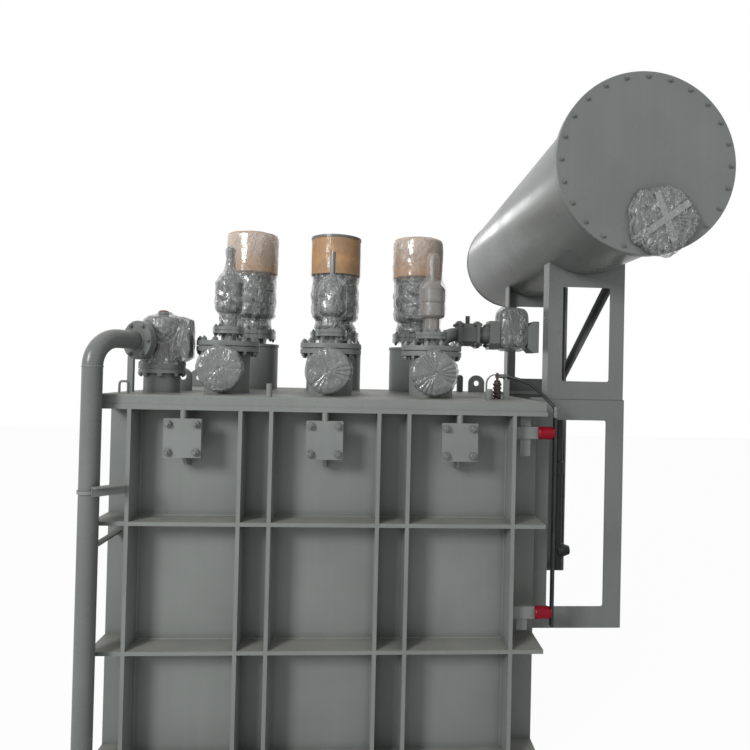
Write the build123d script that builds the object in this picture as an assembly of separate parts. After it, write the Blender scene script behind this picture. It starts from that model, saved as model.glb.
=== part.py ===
"""Magnetically controlled reactor: an oil-filled tank with ribbed walls, three pairs of bushings
on its cover, a relief valve with a down pipe, and an oil conservator carried beside the tank.

Sizes are in mm.  X runs to the right along the long front, Y runs from the front to the back and
Z runs up.  The origin is the middle of the tank's footprint, on the floor.
"""
import os
from math import atan2, degrees, hypot, pi, radians, tan

from build123d import *

# tank: walls, two flat rings, upright ribs, flange and cover
COVER_LENGTH = 1820.0
COVER_WIDTH = 1320.0
COVER_TOP = 1570.0
COVER_EDGE = 40.0
COVER_PLATE = 22.0
COVER_STEP = 4.0
FLANGE_HEIGHT = 18.0
FLANGE_WIDTH = 160.0
WALL = 8.0
RIB_DEPTH = 120.0
RIB_THICK = 16.0
RING_HEIGHTS = (540.0, 1051.0)
FLOOR_THICK = 16.0
CORNER_RIB_X = 17.0
CORNER_RIB_Y = 62.0
INNER_RIB_X = (-339.0, -217.0, 217.0, 339.0)
INNER_RIB_Y = (-160.0, 160.0)
HALF_X = COVER_LENGTH / 2
HALF_Y = COVER_WIDTH / 2
WALL_X = HALF_X - RIB_DEPTH
WALL_Y = HALF_Y - RIB_DEPTH
FRONT = -HALF_Y
FLANGE_TOP = COVER_TOP - COVER_EDGE
FLANGE_LOW = FLANGE_TOP - FLANGE_HEIGHT
FRONT_RIB_X = (CORNER_RIB_X - WALL_X,) + INNER_RIB_X + (WALL_X - CORNER_RIB_X,)
SIDE_RIB_Y = (CORNER_RIB_Y - WALL_Y,) + INNER_RIB_Y + (WALL_Y - CORNER_RIB_Y,)

# skids rolled as I-beams
SKID_HEIGHT = 80.0
SKID_WIDTH = 120.0
SKID_PLATE = 12.0
SKID_INSET = 350.0
SKID_X = (SKID_INSET - HALF_X, 0.0, HALF_X - SKID_INSET)

# bolted pads that hang under the cover flange
PAD_X = (-565.0, -2.0, 548.0)
PAD_WIDTH = 148.0
PAD_HEIGHT = 156.0
PAD_THICK = 22.0
PAD_DROP = 34.0
PAD_STEM_R = 13.0
PAD_GUSSET = 14.0
PAD_CORNER = 4.0

# bushing groups on the cover
GROUP_PITCH = 460.0
GROUP_MIDDLE = -4.0
FRONT_ROW_Y = -330.0
REAR_ROW_Y = 330.0
REAR_SHIFT = -20.0
TURRET_R = 99.0
TURRET_HEIGHT = 232.0
TURRET_FLANGE_R = 137.0
TURRET_FLANGE = 21.0
FLANGE_GAP = 4.0
HANDHOLE_R = 70.0
HANDHOLE_FLANGE_R = 94.0
HANDHOLE_FLANGE = 14.0
HANDHOLE_REACH = 168.0
HANDHOLE_Z = 110.0
REAR_TURRET_R = 149.0
REAR_TURRET_HEIGHT = 246.0
REAR_LID = 14.0
REAR_LID_STEP = 4.0
SMALL_FLANGE_R = 70.0
SMALL_FLANGE = 15.0
SMALL_NECK_R = 34.0
SMALL_BODY_R = 57.0
SMALL_HUB_R = 22.0
SMALL_PIN_R = 12.0
LARGE_FLANGE_R = 135.0
LARGE_FLANGE = 24.0
LARGE_NECK_R = 84.0
LARGE_BODY_R = 120.0
CAP_R = 135.0
CAP_WALL = 8.0
CAP_BOTTOM = COVER_TOP + 638.0
CAP_HEIGHT = 208.0
CAP_TOP = CAP_BOTTOM + CAP_HEIGHT

# relief valve and its down pipe
VALVE_X = 179.0 - HALF_X
VALVE_Y = FRONT + 260.0
VALVE_NECK_R = 76.0
VALVE_NECK = 85.0
VALVE_FLANGE_R = 97.0
VALVE_FLANGE = 18.0
VALVE_BODY_R = 80.0
VALVE_BODY = 205.0
VALVE_BOX_RISE = 99.0
OUTLET_Z = COVER_TOP + 221.0
OUTLET_REACH = 130.0
OUTLET_FLANGE_R = 81.0
OUTLET_FLANGE = 14.0
PIPE_X = 13.0 - HALF_X
PIPE_Y = FRONT - 52.0
PIPE_R = 38.0
PIPE_WALL = 4.0
PIPE_BEND = 112.0
PIPE_END = 200.0
CLAMP_Z = 1196.0
CLAMP_WIRE = 5.0
CLAMP_ANGLE = 40.0
CLAMP_PLATE = 5.0
STAY_Z = 985.0

# conservator and its frames
SHELL_X = HALF_X + 220.0
SHELL_Z = COVER_TOP + 870.0
SHELL_R = 300.0
SHELL_WALL = 6.0
SHELL_LENGTH = 2088.0
END_LIP = 26.0
END_FLANGE_R = SHELL_R + END_LIP
END_FLANGE = 16.0
FAR_DISH = 56.0
GAUGE_SIDE = 53.0
GAUGE_DROP = END_FLANGE_R - 122.0
GAUGE_R = 104.0
GAUGE_DEPTH = 30.0
FRAME_Y = 362.0
FRAME_DEPTH = 86.0
FRAME_PLATE = 8.0
LOWER_LEFT = HALF_X
LOWER_RIGHT = HALF_X + 408.0
LOWER_LEFT_POST = 70.0
LOWER_RIGHT_POST = 80.0
LOWER_BOTTOM = 560.0
LOWER_TOP = COVER_TOP + 8.0
LOWER_BEAM = 94.0
UPPER_LEFT = HALF_X + 56.0
UPPER_RIGHT = HALF_X + 402.0
UPPER_POST = 65.0
UPPER_BEAM = 80.0
SADDLE_DEPTH = 60.0
SADDLE_RISE = 122.0
SADDLE_LOW = SHELL_Z - SHELL_R - SADDLE_DEPTH
SADDLE_TOP = SADDLE_LOW + SADDLE_RISE
WINDOW_R = 10.0
FRAME_JOINT = 3.0
BRACE_HIGH = SADDLE_TOP - 48.0
BRACE_LOW = LOWER_TOP + 112.0
BRACE_WIDTH = 50.0
BRACE_PLATE = 6.0
BRACE_LEDGE = 24.0

# oil pipe with valve, gas relay and end valve
OIL_X = HALF_X - 400.0
OIL_Y = -90.0
OIL_Z = COVER_TOP + 304.0
OIL_R = 34.0
OIL_WALL = 4.0
OIL_BEND = 92.0
OIL_VALVE_LEFT = OIL_X + 96.0
OIL_VALVE_RIGHT = OIL_VALVE_LEFT + 106.0
OIL_FLANGE = 16.0
OIL_FLANGE_SIZE = 140.0
RELAY_FLANGE = 25.0
RELAY_LEFT = OIL_VALVE_RIGHT + 74.0
RELAY_RIGHT = RELAY_LEFT + 164.0
RELAY_DEPTH = 124.0
RELAY_TOP = OIL_Z + 134.0
END_RIGHT = RELAY_RIGHT + 54.0

# earthing bushing, flexible lead, flat bar and the post insulators that carry the bar
EARTH_X = HALF_X - 161.0
EARTH_Y = FRONT + 253.0
EARTH_TOP = COVER_TOP + 85.0
EARTH_R = 20.0
STUD_R = 6.0
STUD = 33.0
STUD_NUT = 9.0
LEAD_R = 7.0
LEAD_BEND = 0.45
BAR_WIDTH = 30.0
BAR_THICK = 10.0
BAR_LOW = 630.0
BAR_TOP = FLANGE_LOW - 10.0
POST_Z = (FLANGE_LOW - 73.0, RING_HEIGHTS[0] + 147.0)
POST_Y = FRONT + 60.0
POST_R = 27.0
POST_LEFT = HALF_X - 24.0
POST_LENGTH = 68.0
POST_ARM = 50.0
POST_ARM_THICK = 8.0
POST_TAB = 44.0
POST_TAB_DROP = (98.0, 74.0)
POST_TAB_RISE = (73.0, 25.0)

# breather pipe under the conservator
BREATHER_X = SHELL_X - 62.0
BREATHER_Y = -300.0
BREATHER_R = 22.0
BREATHER_BOTTOM = 778.0

FLOOR_TOP = SKID_HEIGHT + FLOOR_THICK
SIDES = Plane.YZ

os.makedirs("parts", exist_ok=True)


def save(shape, name):
    """Write one named piece of the reactor."""
    export_step(shape, f"parts/{name}.step")


def block(x0, x1, y0, y1, z0, z1):
    """A plain block between two corners."""
    return Pos((x0 + x1) / 2, (y0 + y1) / 2, (z0 + z1) / 2) * Box(x1 - x0, y1 - y0, z1 - z0)


def drum(x, y, z0, z1, radius):
    """An upright cylinder."""
    return Pos(x, y, (z0 + z1) / 2) * Cylinder(radius, z1 - z0)


def drum_x(x0, x1, y, z, radius):
    """A cylinder lying along X."""
    return Pos((x0 + x1) / 2, y, z) * Rot(0, 90, 0) * Cylinder(radius, x1 - x0)


def drum_y(x, y0, y1, z, radius):
    """A cylinder lying along Y."""
    return Pos(x, (y0 + y1) / 2, z) * Rot(90, 0, 0) * Cylinder(radius, y1 - y0)


def turned(points):
    """A solid turned about Z from (radius, height) points, closed along the axis."""
    outline = [(0, points[0][1])] + list(points) + [(0, points[-1][1])]
    return revolve(Plane.XZ * make_face(Polyline(*outline, close=True)), Axis.Z)


def plate(points, plane, thick):
    """A flat plate cut to an outline and thickened both ways from its plane."""
    return extrude(plane * make_face(Polyline(*points, close=True)), thick / 2, both=True)


def group(shapes):
    """Like pieces kept as separate solids of one part."""
    return Compound(children=[shape.solid() for shape in shapes])


def tube(path, start, radius, wall=0.0):
    """A round bar or pipe drawn along a path from the start plane."""
    pipe = sweep(start * Circle(radius), path)
    if wall:
        pipe -= sweep(start * Circle(radius - wall), path)
    return pipe


def make_skids():
    """Three I-beams under the tank floor."""
    half = SKID_WIDTH / 2
    web = SKID_PLATE / 2
    top = SKID_HEIGHT
    half_outline = [(half, 0), (half, SKID_PLATE), (web, SKID_PLATE), (web, top - SKID_PLATE),
                    (half, top - SKID_PLATE), (half, top)]
    outline = half_outline + [(-x, z) for x, z in reversed(half_outline)]
    beam = plate(outline, Plane.XZ, COVER_WIDTH)
    save(group([Pos(x, 0, 0) * beam for x in SKID_X]), "skids")


def make_tank():
    """Floor, four walls, stiffening rings, upright ribs, flange and cover."""
    save(block(-HALF_X, HALF_X, -HALF_Y, HALF_Y, SKID_HEIGHT, FLOOR_TOP), "tank_floor")

    outer = Rectangle(2 * WALL_X, 2 * WALL_Y)
    walls = extrude(Plane.XY.offset(FLOOR_TOP) * (outer - offset(outer, -WALL)), FLANGE_LOW - FLOOR_TOP)
    save(walls, "tank_walls")

    ring = Rectangle(COVER_LENGTH, COVER_WIDTH) - outer
    save(group([extrude(Plane.XY.offset(z) * ring, RIB_THICK) for z in RING_HEIGHTS]), "stiffening_rings")

    tops = [z + RIB_THICK for z in RING_HEIGHTS]
    bays = list(zip([FLOOR_TOP] + tops, list(RING_HEIGHTS) + [FLANGE_LOW]))
    flat = RIB_THICK / 2
    for name, y0, y1 in (("front_ribs", -HALF_Y, -WALL_Y), ("back_ribs", WALL_Y, HALF_Y)):
        save(group([block(x - flat, x + flat, y0, y1, low, high)
                    for x in FRONT_RIB_X for low, high in bays]), name)
    for name, x0, x1 in (("left_ribs", -HALF_X, -WALL_X), ("right_ribs", WALL_X, HALF_X)):
        save(group([block(x0, x1, y - flat, y + flat, low, high)
                    for y in SIDE_RIB_Y for low, high in bays]), name)

    flange = Rectangle(COVER_LENGTH, COVER_WIDTH)
    flange -= Rectangle(COVER_LENGTH - 2 * FLANGE_WIDTH, COVER_WIDTH - 2 * FLANGE_WIDTH)
    save(extrude(Plane.XY.offset(FLANGE_LOW) * flange, FLANGE_HEIGHT), "cover_flange")

    size_x = COVER_LENGTH - 2 * COVER_STEP
    size_y = COVER_WIDTH - 2 * COVER_STEP
    cover = Pos(0, 0, FLANGE_TOP + COVER_EDGE / 2) * Box(size_x, size_y, COVER_EDGE)
    cover = fillet(cover.edges().group_by(Axis.Z)[-1], 4)
    inner = COVER_EDGE - COVER_PLATE
    cover -= Pos(0, 0, FLANGE_TOP + inner / 2) * Box(size_x - 80, size_y - 80, inner)
    save(cover, "tank_cover")


def make_pads():
    """Bolted pads on a round stem from the flange, each with a gusset back to the wall."""
    pads = []
    top = FLANGE_LOW - PAD_DROP
    low = top - PAD_HEIGHT
    behind = FRONT + PAD_THICK
    for x in PAD_X:
        face = Pos(x, (top + low) / 2) * RectangleRounded(PAD_WIDTH, PAD_HEIGHT, PAD_CORNER)
        pad = extrude(Plane.XZ.offset(-FRONT) * face, -PAD_THICK)
        pad += drum(x, FRONT + PAD_STEM_R, top - 10, FLANGE_LOW, PAD_STEM_R)
        pad += plate([(behind - 1, FLANGE_LOW), (-WALL_Y, FLANGE_LOW), (-WALL_Y, low - 44),
                      (behind + 40, low - 36), (behind - 1, low + 8)], SIDES.offset(x), PAD_GUSSET)
        pads.append(pad)
    save(group(pads), "front_pads")


def make_front_turret():
    """A low turret with a pair of flanges, the handhole neck in front and the handhole cover."""
    low = COVER_TOP + TURRET_HEIGHT - 2 * TURRET_FLANGE - FLANGE_GAP
    top = COVER_TOP + TURRET_HEIGHT
    groove = TURRET_FLANGE_R - 10
    turret = turned([(TURRET_R, COVER_TOP), (TURRET_R, low), (TURRET_FLANGE_R, low),
                     (TURRET_FLANGE_R, low + TURRET_FLANGE), (groove, low + TURRET_FLANGE),
                     (groove, top - TURRET_FLANGE), (TURRET_FLANGE_R, top - TURRET_FLANGE),
                     (TURRET_FLANGE_R, top)])
    z = COVER_TOP + HANDHOLE_Z
    face = -HANDHOLE_REACH + HANDHOLE_FLANGE
    neck = drum_y(0, face, 0, z, HANDHOLE_R) - drum(0, 0, COVER_TOP - 1, top, TURRET_R)
    neck = neck.solids().sort_by(Axis.Y)[0] + drum_y(0, face, face + HANDHOLE_FLANGE, z, HANDHOLE_FLANGE_R)
    lid = drum_y(0, -HANDHOLE_REACH, face, z, HANDHOLE_FLANGE_R)
    return turret, neck, lid


def make_small_bushing():
    """Neutral bushing: neck, a pair of flanges, a stepped body and its terminal pin."""
    z = COVER_TOP + TURRET_HEIGHT
    flange = z + 34
    above = flange + 2 * SMALL_FLANGE
    body = z + 133
    profile = [(SMALL_NECK_R, z), (SMALL_NECK_R, flange), (SMALL_FLANGE_R, flange),
               (SMALL_FLANGE_R, flange + SMALL_FLANGE - 1), (SMALL_FLANGE_R - 6, flange + SMALL_FLANGE - 1),
               (SMALL_FLANGE_R - 6, flange + SMALL_FLANGE + 1), (SMALL_FLANGE_R, flange + SMALL_FLANGE + 1),
               (SMALL_FLANGE_R, above), (SMALL_NECK_R + 8, above), (SMALL_NECK_R, above + 16),
               (SMALL_NECK_R, body - 6), (SMALL_BODY_R - 6, body), (SMALL_BODY_R, body + 8),
               (SMALL_BODY_R, body + 62), (SMALL_BODY_R - 4, body + 67), (SMALL_BODY_R, body + 72),
               (SMALL_BODY_R, body + 130), (SMALL_BODY_R - 8, body + 140), (SMALL_HUB_R + 4, body + 166),
               (SMALL_HUB_R, body + 168), (SMALL_HUB_R, body + 182), (SMALL_PIN_R, body + 184),
               (SMALL_PIN_R, body + 288)]
    return turned(profile)


def make_large_bushing():
    """Line bushing: neck, a pair of flanges, a waist and a stepped body that runs up into the cap."""
    z = COVER_TOP + REAR_TURRET_HEIGHT
    flange = z + 28
    above = flange + 2 * LARGE_FLANGE
    body = above + 70
    profile = [(LARGE_NECK_R, z), (LARGE_NECK_R, flange), (LARGE_FLANGE_R, flange),
               (LARGE_FLANGE_R, flange + LARGE_FLANGE - 2), (LARGE_FLANGE_R - 8, flange + LARGE_FLANGE - 2),
               (LARGE_FLANGE_R - 8, flange + LARGE_FLANGE + 2), (LARGE_FLANGE_R, flange + LARGE_FLANGE + 2),
               (LARGE_FLANGE_R, above), (LARGE_NECK_R + 22, above), (LARGE_NECK_R + 18, above + 30),
               (LARGE_NECK_R, body - 12), (LARGE_BODY_R - 8, body), (LARGE_BODY_R, body + 16)]
    step = 68
    for i in range(3):
        low = body + 16 + i * step
        profile += [(LARGE_BODY_R, low + step - 14), (LARGE_BODY_R - 7, low + step - 7),
                    (LARGE_BODY_R, low + step)]
    profile += [(LARGE_BODY_R, body + 236), (LARGE_BODY_R - 20, body + 250), (60, body + 262),
                (60, CAP_TOP - 30)]
    return turned(profile)


def make_bushings():
    """The three groups that stand on the cover."""
    turret, neck, lid = make_front_turret()
    rear = turned([(REAR_TURRET_R, COVER_TOP), (REAR_TURRET_R, COVER_TOP + REAR_TURRET_HEIGHT - REAR_LID),
                   (REAR_TURRET_R + REAR_LID_STEP, COVER_TOP + REAR_TURRET_HEIGHT - REAR_LID),
                   (REAR_TURRET_R + REAR_LID_STEP, COVER_TOP + REAR_TURRET_HEIGHT)])
    cap = turned([(CAP_R, CAP_BOTTOM), (CAP_R, CAP_TOP)])
    cap -= drum(0, 0, CAP_BOTTOM - 1, CAP_TOP - CAP_WALL, CAP_R - CAP_WALL)
    front_spots = [Pos(GROUP_MIDDLE + GROUP_PITCH * i, FRONT_ROW_Y, 0) for i in (-1, 0, 1)]
    rear_spots = [Pos(GROUP_MIDDLE + REAR_SHIFT + GROUP_PITCH * i, REAR_ROW_Y, 0) for i in (-1, 0, 1)]
    for shape, spots, name in ((turret, front_spots, "front_turrets"), (neck, front_spots, "handhole_necks"),
                               (lid, front_spots, "handhole_covers"), (rear, rear_spots, "rear_turrets"),
                               (make_small_bushing(), front_spots, "small_bushings"),
                               (make_large_bushing(), rear_spots, "large_bushings"),
                               (cap, rear_spots, "bushing_caps")):
        save(group([spot * shape for spot in spots]), name)


def make_relief_valve():
    """Neck, spring valve with its switch box, and the down pipe on the turned outlet."""
    base = COVER_TOP + VALVE_NECK
    neck = turned([(VALVE_NECK_R, COVER_TOP), (VALVE_NECK_R, base), (VALVE_FLANGE_R, base),
                   (VALVE_FLANGE_R, base + VALVE_FLANGE - 2), (VALVE_FLANGE_R - 6, base + VALVE_FLANGE - 2),
                   (VALVE_FLANGE_R - 6, base + VALVE_FLANGE)])
    save(Pos(VALVE_X, VALVE_Y, 0) * neck, "relief_valve_neck")

    low = base + VALVE_FLANGE
    high = low + VALVE_BODY
    body = turned([(VALVE_FLANGE_R, low), (VALVE_FLANGE_R, low + 18), (VALVE_BODY_R, low + 30),
                   (VALVE_BODY_R, high), (VALVE_BODY_R - 22, high + 18), (22, high + 22),
                   (22, high + 44)])
    swing = degrees(atan2(PIPE_Y - VALVE_Y, PIPE_X - VALVE_X))
    run = hypot(PIPE_X - VALVE_X, PIPE_Y - VALVE_Y)
    outlet = drum_x(0, OUTLET_REACH - OUTLET_FLANGE, 0, OUTLET_Z, PIPE_R + 4)
    outlet += drum_x(OUTLET_REACH - OUTLET_FLANGE, OUTLET_REACH, 0, OUTLET_Z, OUTLET_FLANGE_R)
    body += Rot(0, 0, swing) * outlet
    body += block(VALVE_BODY_R - 24, VALVE_BODY_R + 40, -40, 40, OUTLET_Z - 67, OUTLET_Z + VALVE_BOX_RISE)
    save(Pos(VALVE_X, VALVE_Y, 0) * body, "relief_valve")

    start = OUTLET_REACH + OUTLET_FLANGE
    path = Plane.XZ * FilletPolyline((start, OUTLET_Z), (run, OUTLET_Z), (run, PIPE_END), radius=PIPE_BEND)
    pipe = tube(path, Plane((start, 0, OUTLET_Z), z_dir=(1, 0, 0)), PIPE_R, PIPE_WALL)
    flange = drum_x(OUTLET_REACH, start, 0, OUTLET_Z, OUTLET_FLANGE_R)
    flange -= drum_x(OUTLET_REACH - 1, start + 1, 0, OUTLET_Z, PIPE_R - PIPE_WALL)
    save(Pos(VALVE_X, VALVE_Y, 0) * Rot(0, 0, swing) * (pipe + flange), "down_pipe")

    # an angle with a round band holds the pipe to the first rib, a flat bar stays it to the side
    rib = FRONT_RIB_X[0] - RIB_THICK / 2
    reach = hypot(PIPE_X - rib, PIPE_Y - FRONT)
    lean = atan2(PIPE_Y - FRONT, PIPE_X - rib)
    off = PIPE_R + CLAMP_WIRE / 2
    turn = lean + atan2(off, (reach ** 2 - off ** 2) ** 0.5)
    arm = plate([(0, 0), (CLAMP_ANGLE, 0), (CLAMP_ANGLE, -CLAMP_PLATE), (CLAMP_PLATE, -CLAMP_PLATE),
                 (CLAMP_PLATE, -CLAMP_ANGLE), (0, -CLAMP_ANGLE)],
                Plane((0, 0, 0), x_dir=(0, 1, 0), z_dir=(1, 0, 0)), 2 * reach)
    arm &= block(0, reach + 22, -1, CLAMP_ANGLE + 1, -CLAMP_ANGLE - 1, 1)
    arm = Pos(rib, FRONT, CLAMP_Z + 24) * Rot(0, 0, degrees(turn)) * arm
    arm -= block(rib, rib + RIB_THICK * 4, FRONT, FRONT + 200, CLAMP_Z - 60, CLAMP_Z + 60)
    band = drum(PIPE_X, PIPE_Y, CLAMP_Z - 6, CLAMP_Z + 6, PIPE_R + CLAMP_WIRE)
    band -= drum(PIPE_X, PIPE_Y, CLAMP_Z - 7, CLAMP_Z + 7, PIPE_R)
    arm -= drum(PIPE_X, PIPE_Y, CLAMP_Z - 60, CLAMP_Z + 60, PIPE_R)
    stay = block(PIPE_X + 14, PIPE_X + 44, PIPE_Y, SIDE_RIB_Y[0] - RIB_THICK / 2, STAY_Z, STAY_Z + 6)
    stay -= drum(PIPE_X, PIPE_Y, STAY_Z - 1, STAY_Z + 7, PIPE_R)
    save(group([(arm + band), stay]), "pipe_clamps")


def rounded_lug(x, y, width, height, thick, hole):
    """A lifting lug with a rounded top, standing on the cover and facing the front."""
    half = width / 2
    shape = Pos(x, COVER_TOP + (height - half) / 2) * Rectangle(width, height - half)
    shape += Pos(x, COVER_TOP + height - half) * Circle(half)
    if hole:
        shape -= Pos(x, COVER_TOP + height - half) * Circle(hole)
    return extrude(Plane.XZ.offset(-y) * shape, thick / 2, both=True)


def make_cover_fittings():
    """Lifting lugs, peg, outlet stay, grab loop, filling stub and earthing plate on the cover."""
    back = HALF_Y - 120
    side = HALF_X - 91
    lugs = [rounded_lug(194 - HALF_X, -130, 78, 107, 24, 17), rounded_lug(side, back, 96, 100, 24, 16),
            rounded_lug(-side, back, 96, 100, 24, 16), rounded_lug(side - 96, back + 20, 36, 100, 24, 0)]
    save(group(lugs), "lifting_lugs")

    stay_x = 42 - HALF_X
    stay_top = OUTLET_Z - PIPE_R - 28
    stay = block(stay_x - 12, stay_x + 12, -402, -396, COVER_TOP, stay_top)
    stay += block(stay_x + 6, stay_x + 12, -402, -378, COVER_TOP, stay_top)
    loop_path = Plane.XZ * FilletPolyline((0, 0), (0, 48), (36, 48), (36, 0), radius=12)
    loop = Pos(36 - HALF_X, FRONT + 160, COVER_TOP) * tube(loop_path, Plane.XY, 5)
    peg = drum(-230, FRONT + 18, COVER_TOP, COVER_TOP + 54, 12)
    stub = turned([(17, COVER_TOP), (17, COVER_TOP + 36), (14, COVER_TOP + 46)])
    stub = Pos(HALF_X - 211, FRONT + 184, 0) * stub
    strap_outer = Pos(EARTH_X, COVER_TOP + 66) * Circle(46) + Pos(EARTH_X, COVER_TOP + 33) * Rectangle(92, 66)
    strap = strap_outer - (Pos(EARTH_X, COVER_TOP + 66) * Circle(42)
                           + Pos(EARTH_X, COVER_TOP + 33) * Rectangle(84, 66))
    strap = extrude(Plane.XZ.offset(-EARTH_Y - 26) * strap, 12, both=True)
    tab = block(EARTH_X + 28, EARTH_X + 55, EARTH_Y - 4, EARTH_Y + 4, COVER_TOP, COVER_TOP + 88)
    save(group([stay, loop, peg, stub, strap, tab]), "cover_fittings")


def make_conservator():
    """Shell, bolted near end with the oil gauge, and the dished far end."""
    near = -SHELL_LENGTH / 2
    far = SHELL_LENGTH / 2
    shell = turned([(SHELL_R, 0), (SHELL_R, SHELL_LENGTH - END_FLANGE), (END_FLANGE_R, SHELL_LENGTH - END_FLANGE),
                    (END_FLANGE_R, SHELL_LENGTH)])
    shell -= drum(0, 0, -1, SHELL_LENGTH + 1, SHELL_R - SHELL_WALL)
    save(Pos(SHELL_X, far, SHELL_Z) * Rot(90, 0, 0) * shell, "conservator_shell")
    cover = turned([(END_FLANGE_R, 0), (END_FLANGE_R, END_FLANGE - 2), (END_FLANGE_R - 2, END_FLANGE)])
    save(Pos(SHELL_X, near, SHELL_Z) * Rot(90, 0, 0) * cover, "conservator_cover")
    dish = turned([(SHELL_R, 0), (SHELL_R - 3, 14), (SHELL_R - 22, 32), (SHELL_R - 90, 48),
                   (SHELL_R - 190, FAR_DISH - 2), (1, FAR_DISH)])
    save(Pos(SHELL_X, far, SHELL_Z) * Rot(-90, 0, 0) * dish, "conservator_far_end")
    gauge = turned([(GAUGE_R, 0), (GAUGE_R, GAUGE_DEPTH - 10), (GAUGE_R - 10, GAUGE_DEPTH)])
    save(Pos(SHELL_X + GAUGE_SIDE, near - END_FLANGE, SHELL_Z - GAUGE_DROP) * Rot(90, 0, 0) * gauge,
         "oil_gauge")


def channel_frame(x0, x1, z0, z1, a0, a1, b0, b1):
    """A frame of bent plate: a face round a window, with its outer edges turned back."""
    outer = Pos((x0 + x1) / 2, (z0 + z1) / 2) * Rectangle(x1 - x0, z1 - z0)
    window = Pos((a0 + a1) / 2, (b0 + b1) / 2) * RectangleRounded(a1 - a0, b1 - b0, WINDOW_R)
    frame = extrude(Plane.XZ * (outer - window), -FRAME_DEPTH)
    back = offset(outer, -FRAME_PLATE)
    return frame - extrude(Plane.XZ.offset(-FRAME_PLATE) * back, -FRAME_DEPTH)


def make_frames():
    """Two lower frames on the tank's side, two upper frames with saddles, and one brace."""
    lower = channel_frame(LOWER_LEFT, LOWER_RIGHT, LOWER_BOTTOM, LOWER_TOP, LOWER_LEFT + LOWER_LEFT_POST,
                          LOWER_RIGHT - LOWER_RIGHT_POST, LOWER_BOTTOM + LOWER_BEAM, LOWER_TOP - LOWER_BEAM)
    lower -= block(LOWER_LEFT - 1, LOWER_RIGHT + 1, -1, FRAME_JOINT, LOWER_TOP - FRAME_JOINT, LOWER_TOP + 1)
    upper = channel_frame(UPPER_LEFT, UPPER_RIGHT, LOWER_TOP, SADDLE_TOP, UPPER_LEFT + UPPER_POST,
                          UPPER_RIGHT - UPPER_POST, LOWER_TOP + UPPER_BEAM, SADDLE_LOW)
    upper -= drum_y(SHELL_X, -1, FRAME_DEPTH + 1, SHELL_Z, SHELL_R)
    reach = FRAME_Y + FRAME_DEPTH
    for shape, kind in ((lower, "lower"), (upper, "upper")):
        save(Pos(0, -reach, 0) * shape, f"near_{kind}_frame")
        save(Pos(0, reach, 0) * mirror(shape, Plane.XZ), f"far_{kind}_frame")
    half = BRACE_WIDTH / 2
    slope = [(-FRAME_Y, BRACE_HIGH + half), (-FRAME_Y, BRACE_HIGH - half), (FRAME_Y, BRACE_LOW - half),
             (FRAME_Y, BRACE_LOW + half)]
    brace = plate(slope, SIDES.offset(UPPER_RIGHT - FRAME_PLATE / 2), BRACE_PLATE)
    ledge = [(-FRAME_Y, BRACE_HIGH + half), (-FRAME_Y, BRACE_HIGH + half - BRACE_PLATE),
             (FRAME_Y, BRACE_LOW + half - BRACE_PLATE), (FRAME_Y, BRACE_LOW + half)]
    inside = UPPER_RIGHT - FRAME_PLATE / 2 - BRACE_PLATE / 2
    brace += plate(ledge, SIDES.offset(inside - BRACE_LEDGE / 2 + 1), BRACE_LEDGE)
    save(brace, "frame_brace")


def square_flange(x0, x1, size):
    """A square flange with cut corners on the oil pipe, facing along X."""
    half = size / 2
    cut = size * 0.2
    corner = [(half, half - cut), (half - cut, half)]
    outline = corner + [(-z, y) for y, z in corner] + [(-y, -z) for y, z in corner] + [(z, -y) for y, z in corner]
    return Pos((x0 + x1) / 2, OIL_Y, OIL_Z) * plate(outline, SIDES, x1 - x0)


def make_oil_line():
    """Oil pipe from the cover, plate valve, gas relay and the open end valve."""
    path = Plane.XZ * FilletPolyline((OIL_X, COVER_TOP), (OIL_X, OIL_Z), (OIL_VALVE_LEFT, OIL_Z), radius=OIL_BEND)
    save(Pos(0, OIL_Y, 0) * tube(path, Plane((OIL_X, 0, COVER_TOP)), OIL_R, OIL_WALL), "oil_pipe")

    left = OIL_VALVE_LEFT + OIL_FLANGE
    right = OIL_VALVE_RIGHT - OIL_FLANGE
    middle = (left + right) / 2
    flange = RELAY_LEFT - RELAY_FLANGE
    valve = square_flange(OIL_VALVE_LEFT, left, OIL_FLANGE_SIZE - 8)
    valve += square_flange(left, right, OIL_FLANGE_SIZE - 28)
    valve += square_flange(right, OIL_VALVE_RIGHT, OIL_FLANGE_SIZE - 8)
    valve += drum(middle, OIL_Y, OIL_Z, OIL_Z + 94, 11)
    valve += drum_x(OIL_VALVE_RIGHT, flange, OIL_Y, OIL_Z, OIL_R + 10)
    valve += square_flange(flange, RELAY_LEFT, OIL_FLANGE_SIZE)
    save(valve, "oil_valve")

    low = OIL_Z - 62
    body = RELAY_LEFT + RELAY_FLANGE
    face = Pos((body + RELAY_RIGHT) / 2, (low + RELAY_TOP) / 2) * RectangleRounded(
        RELAY_RIGHT - body, RELAY_TOP - low, 38)
    relay = extrude(Plane.XZ.offset(-OIL_Y) * face, RELAY_DEPTH / 2, both=True)
    relay += square_flange(RELAY_LEFT, body, OIL_FLANGE_SIZE)
    save(relay, "gas_relay")

    half = OIL_FLANGE_SIZE / 2
    end = Pos((RELAY_RIGHT + END_RIGHT) / 2, OIL_Y, OIL_Z - 6) * Box(
        END_RIGHT - RELAY_RIGHT, 2 * half, OIL_FLANGE_SIZE + 14)
    end = chamfer(end.edges().filter_by(Axis.Y).group_by(Axis.X)[0], 26)
    end -= drum_x(RELAY_RIGHT + 30, END_RIGHT + 1, OIL_Y, OIL_Z, OIL_R)
    save(end, "end_valve")


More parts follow.
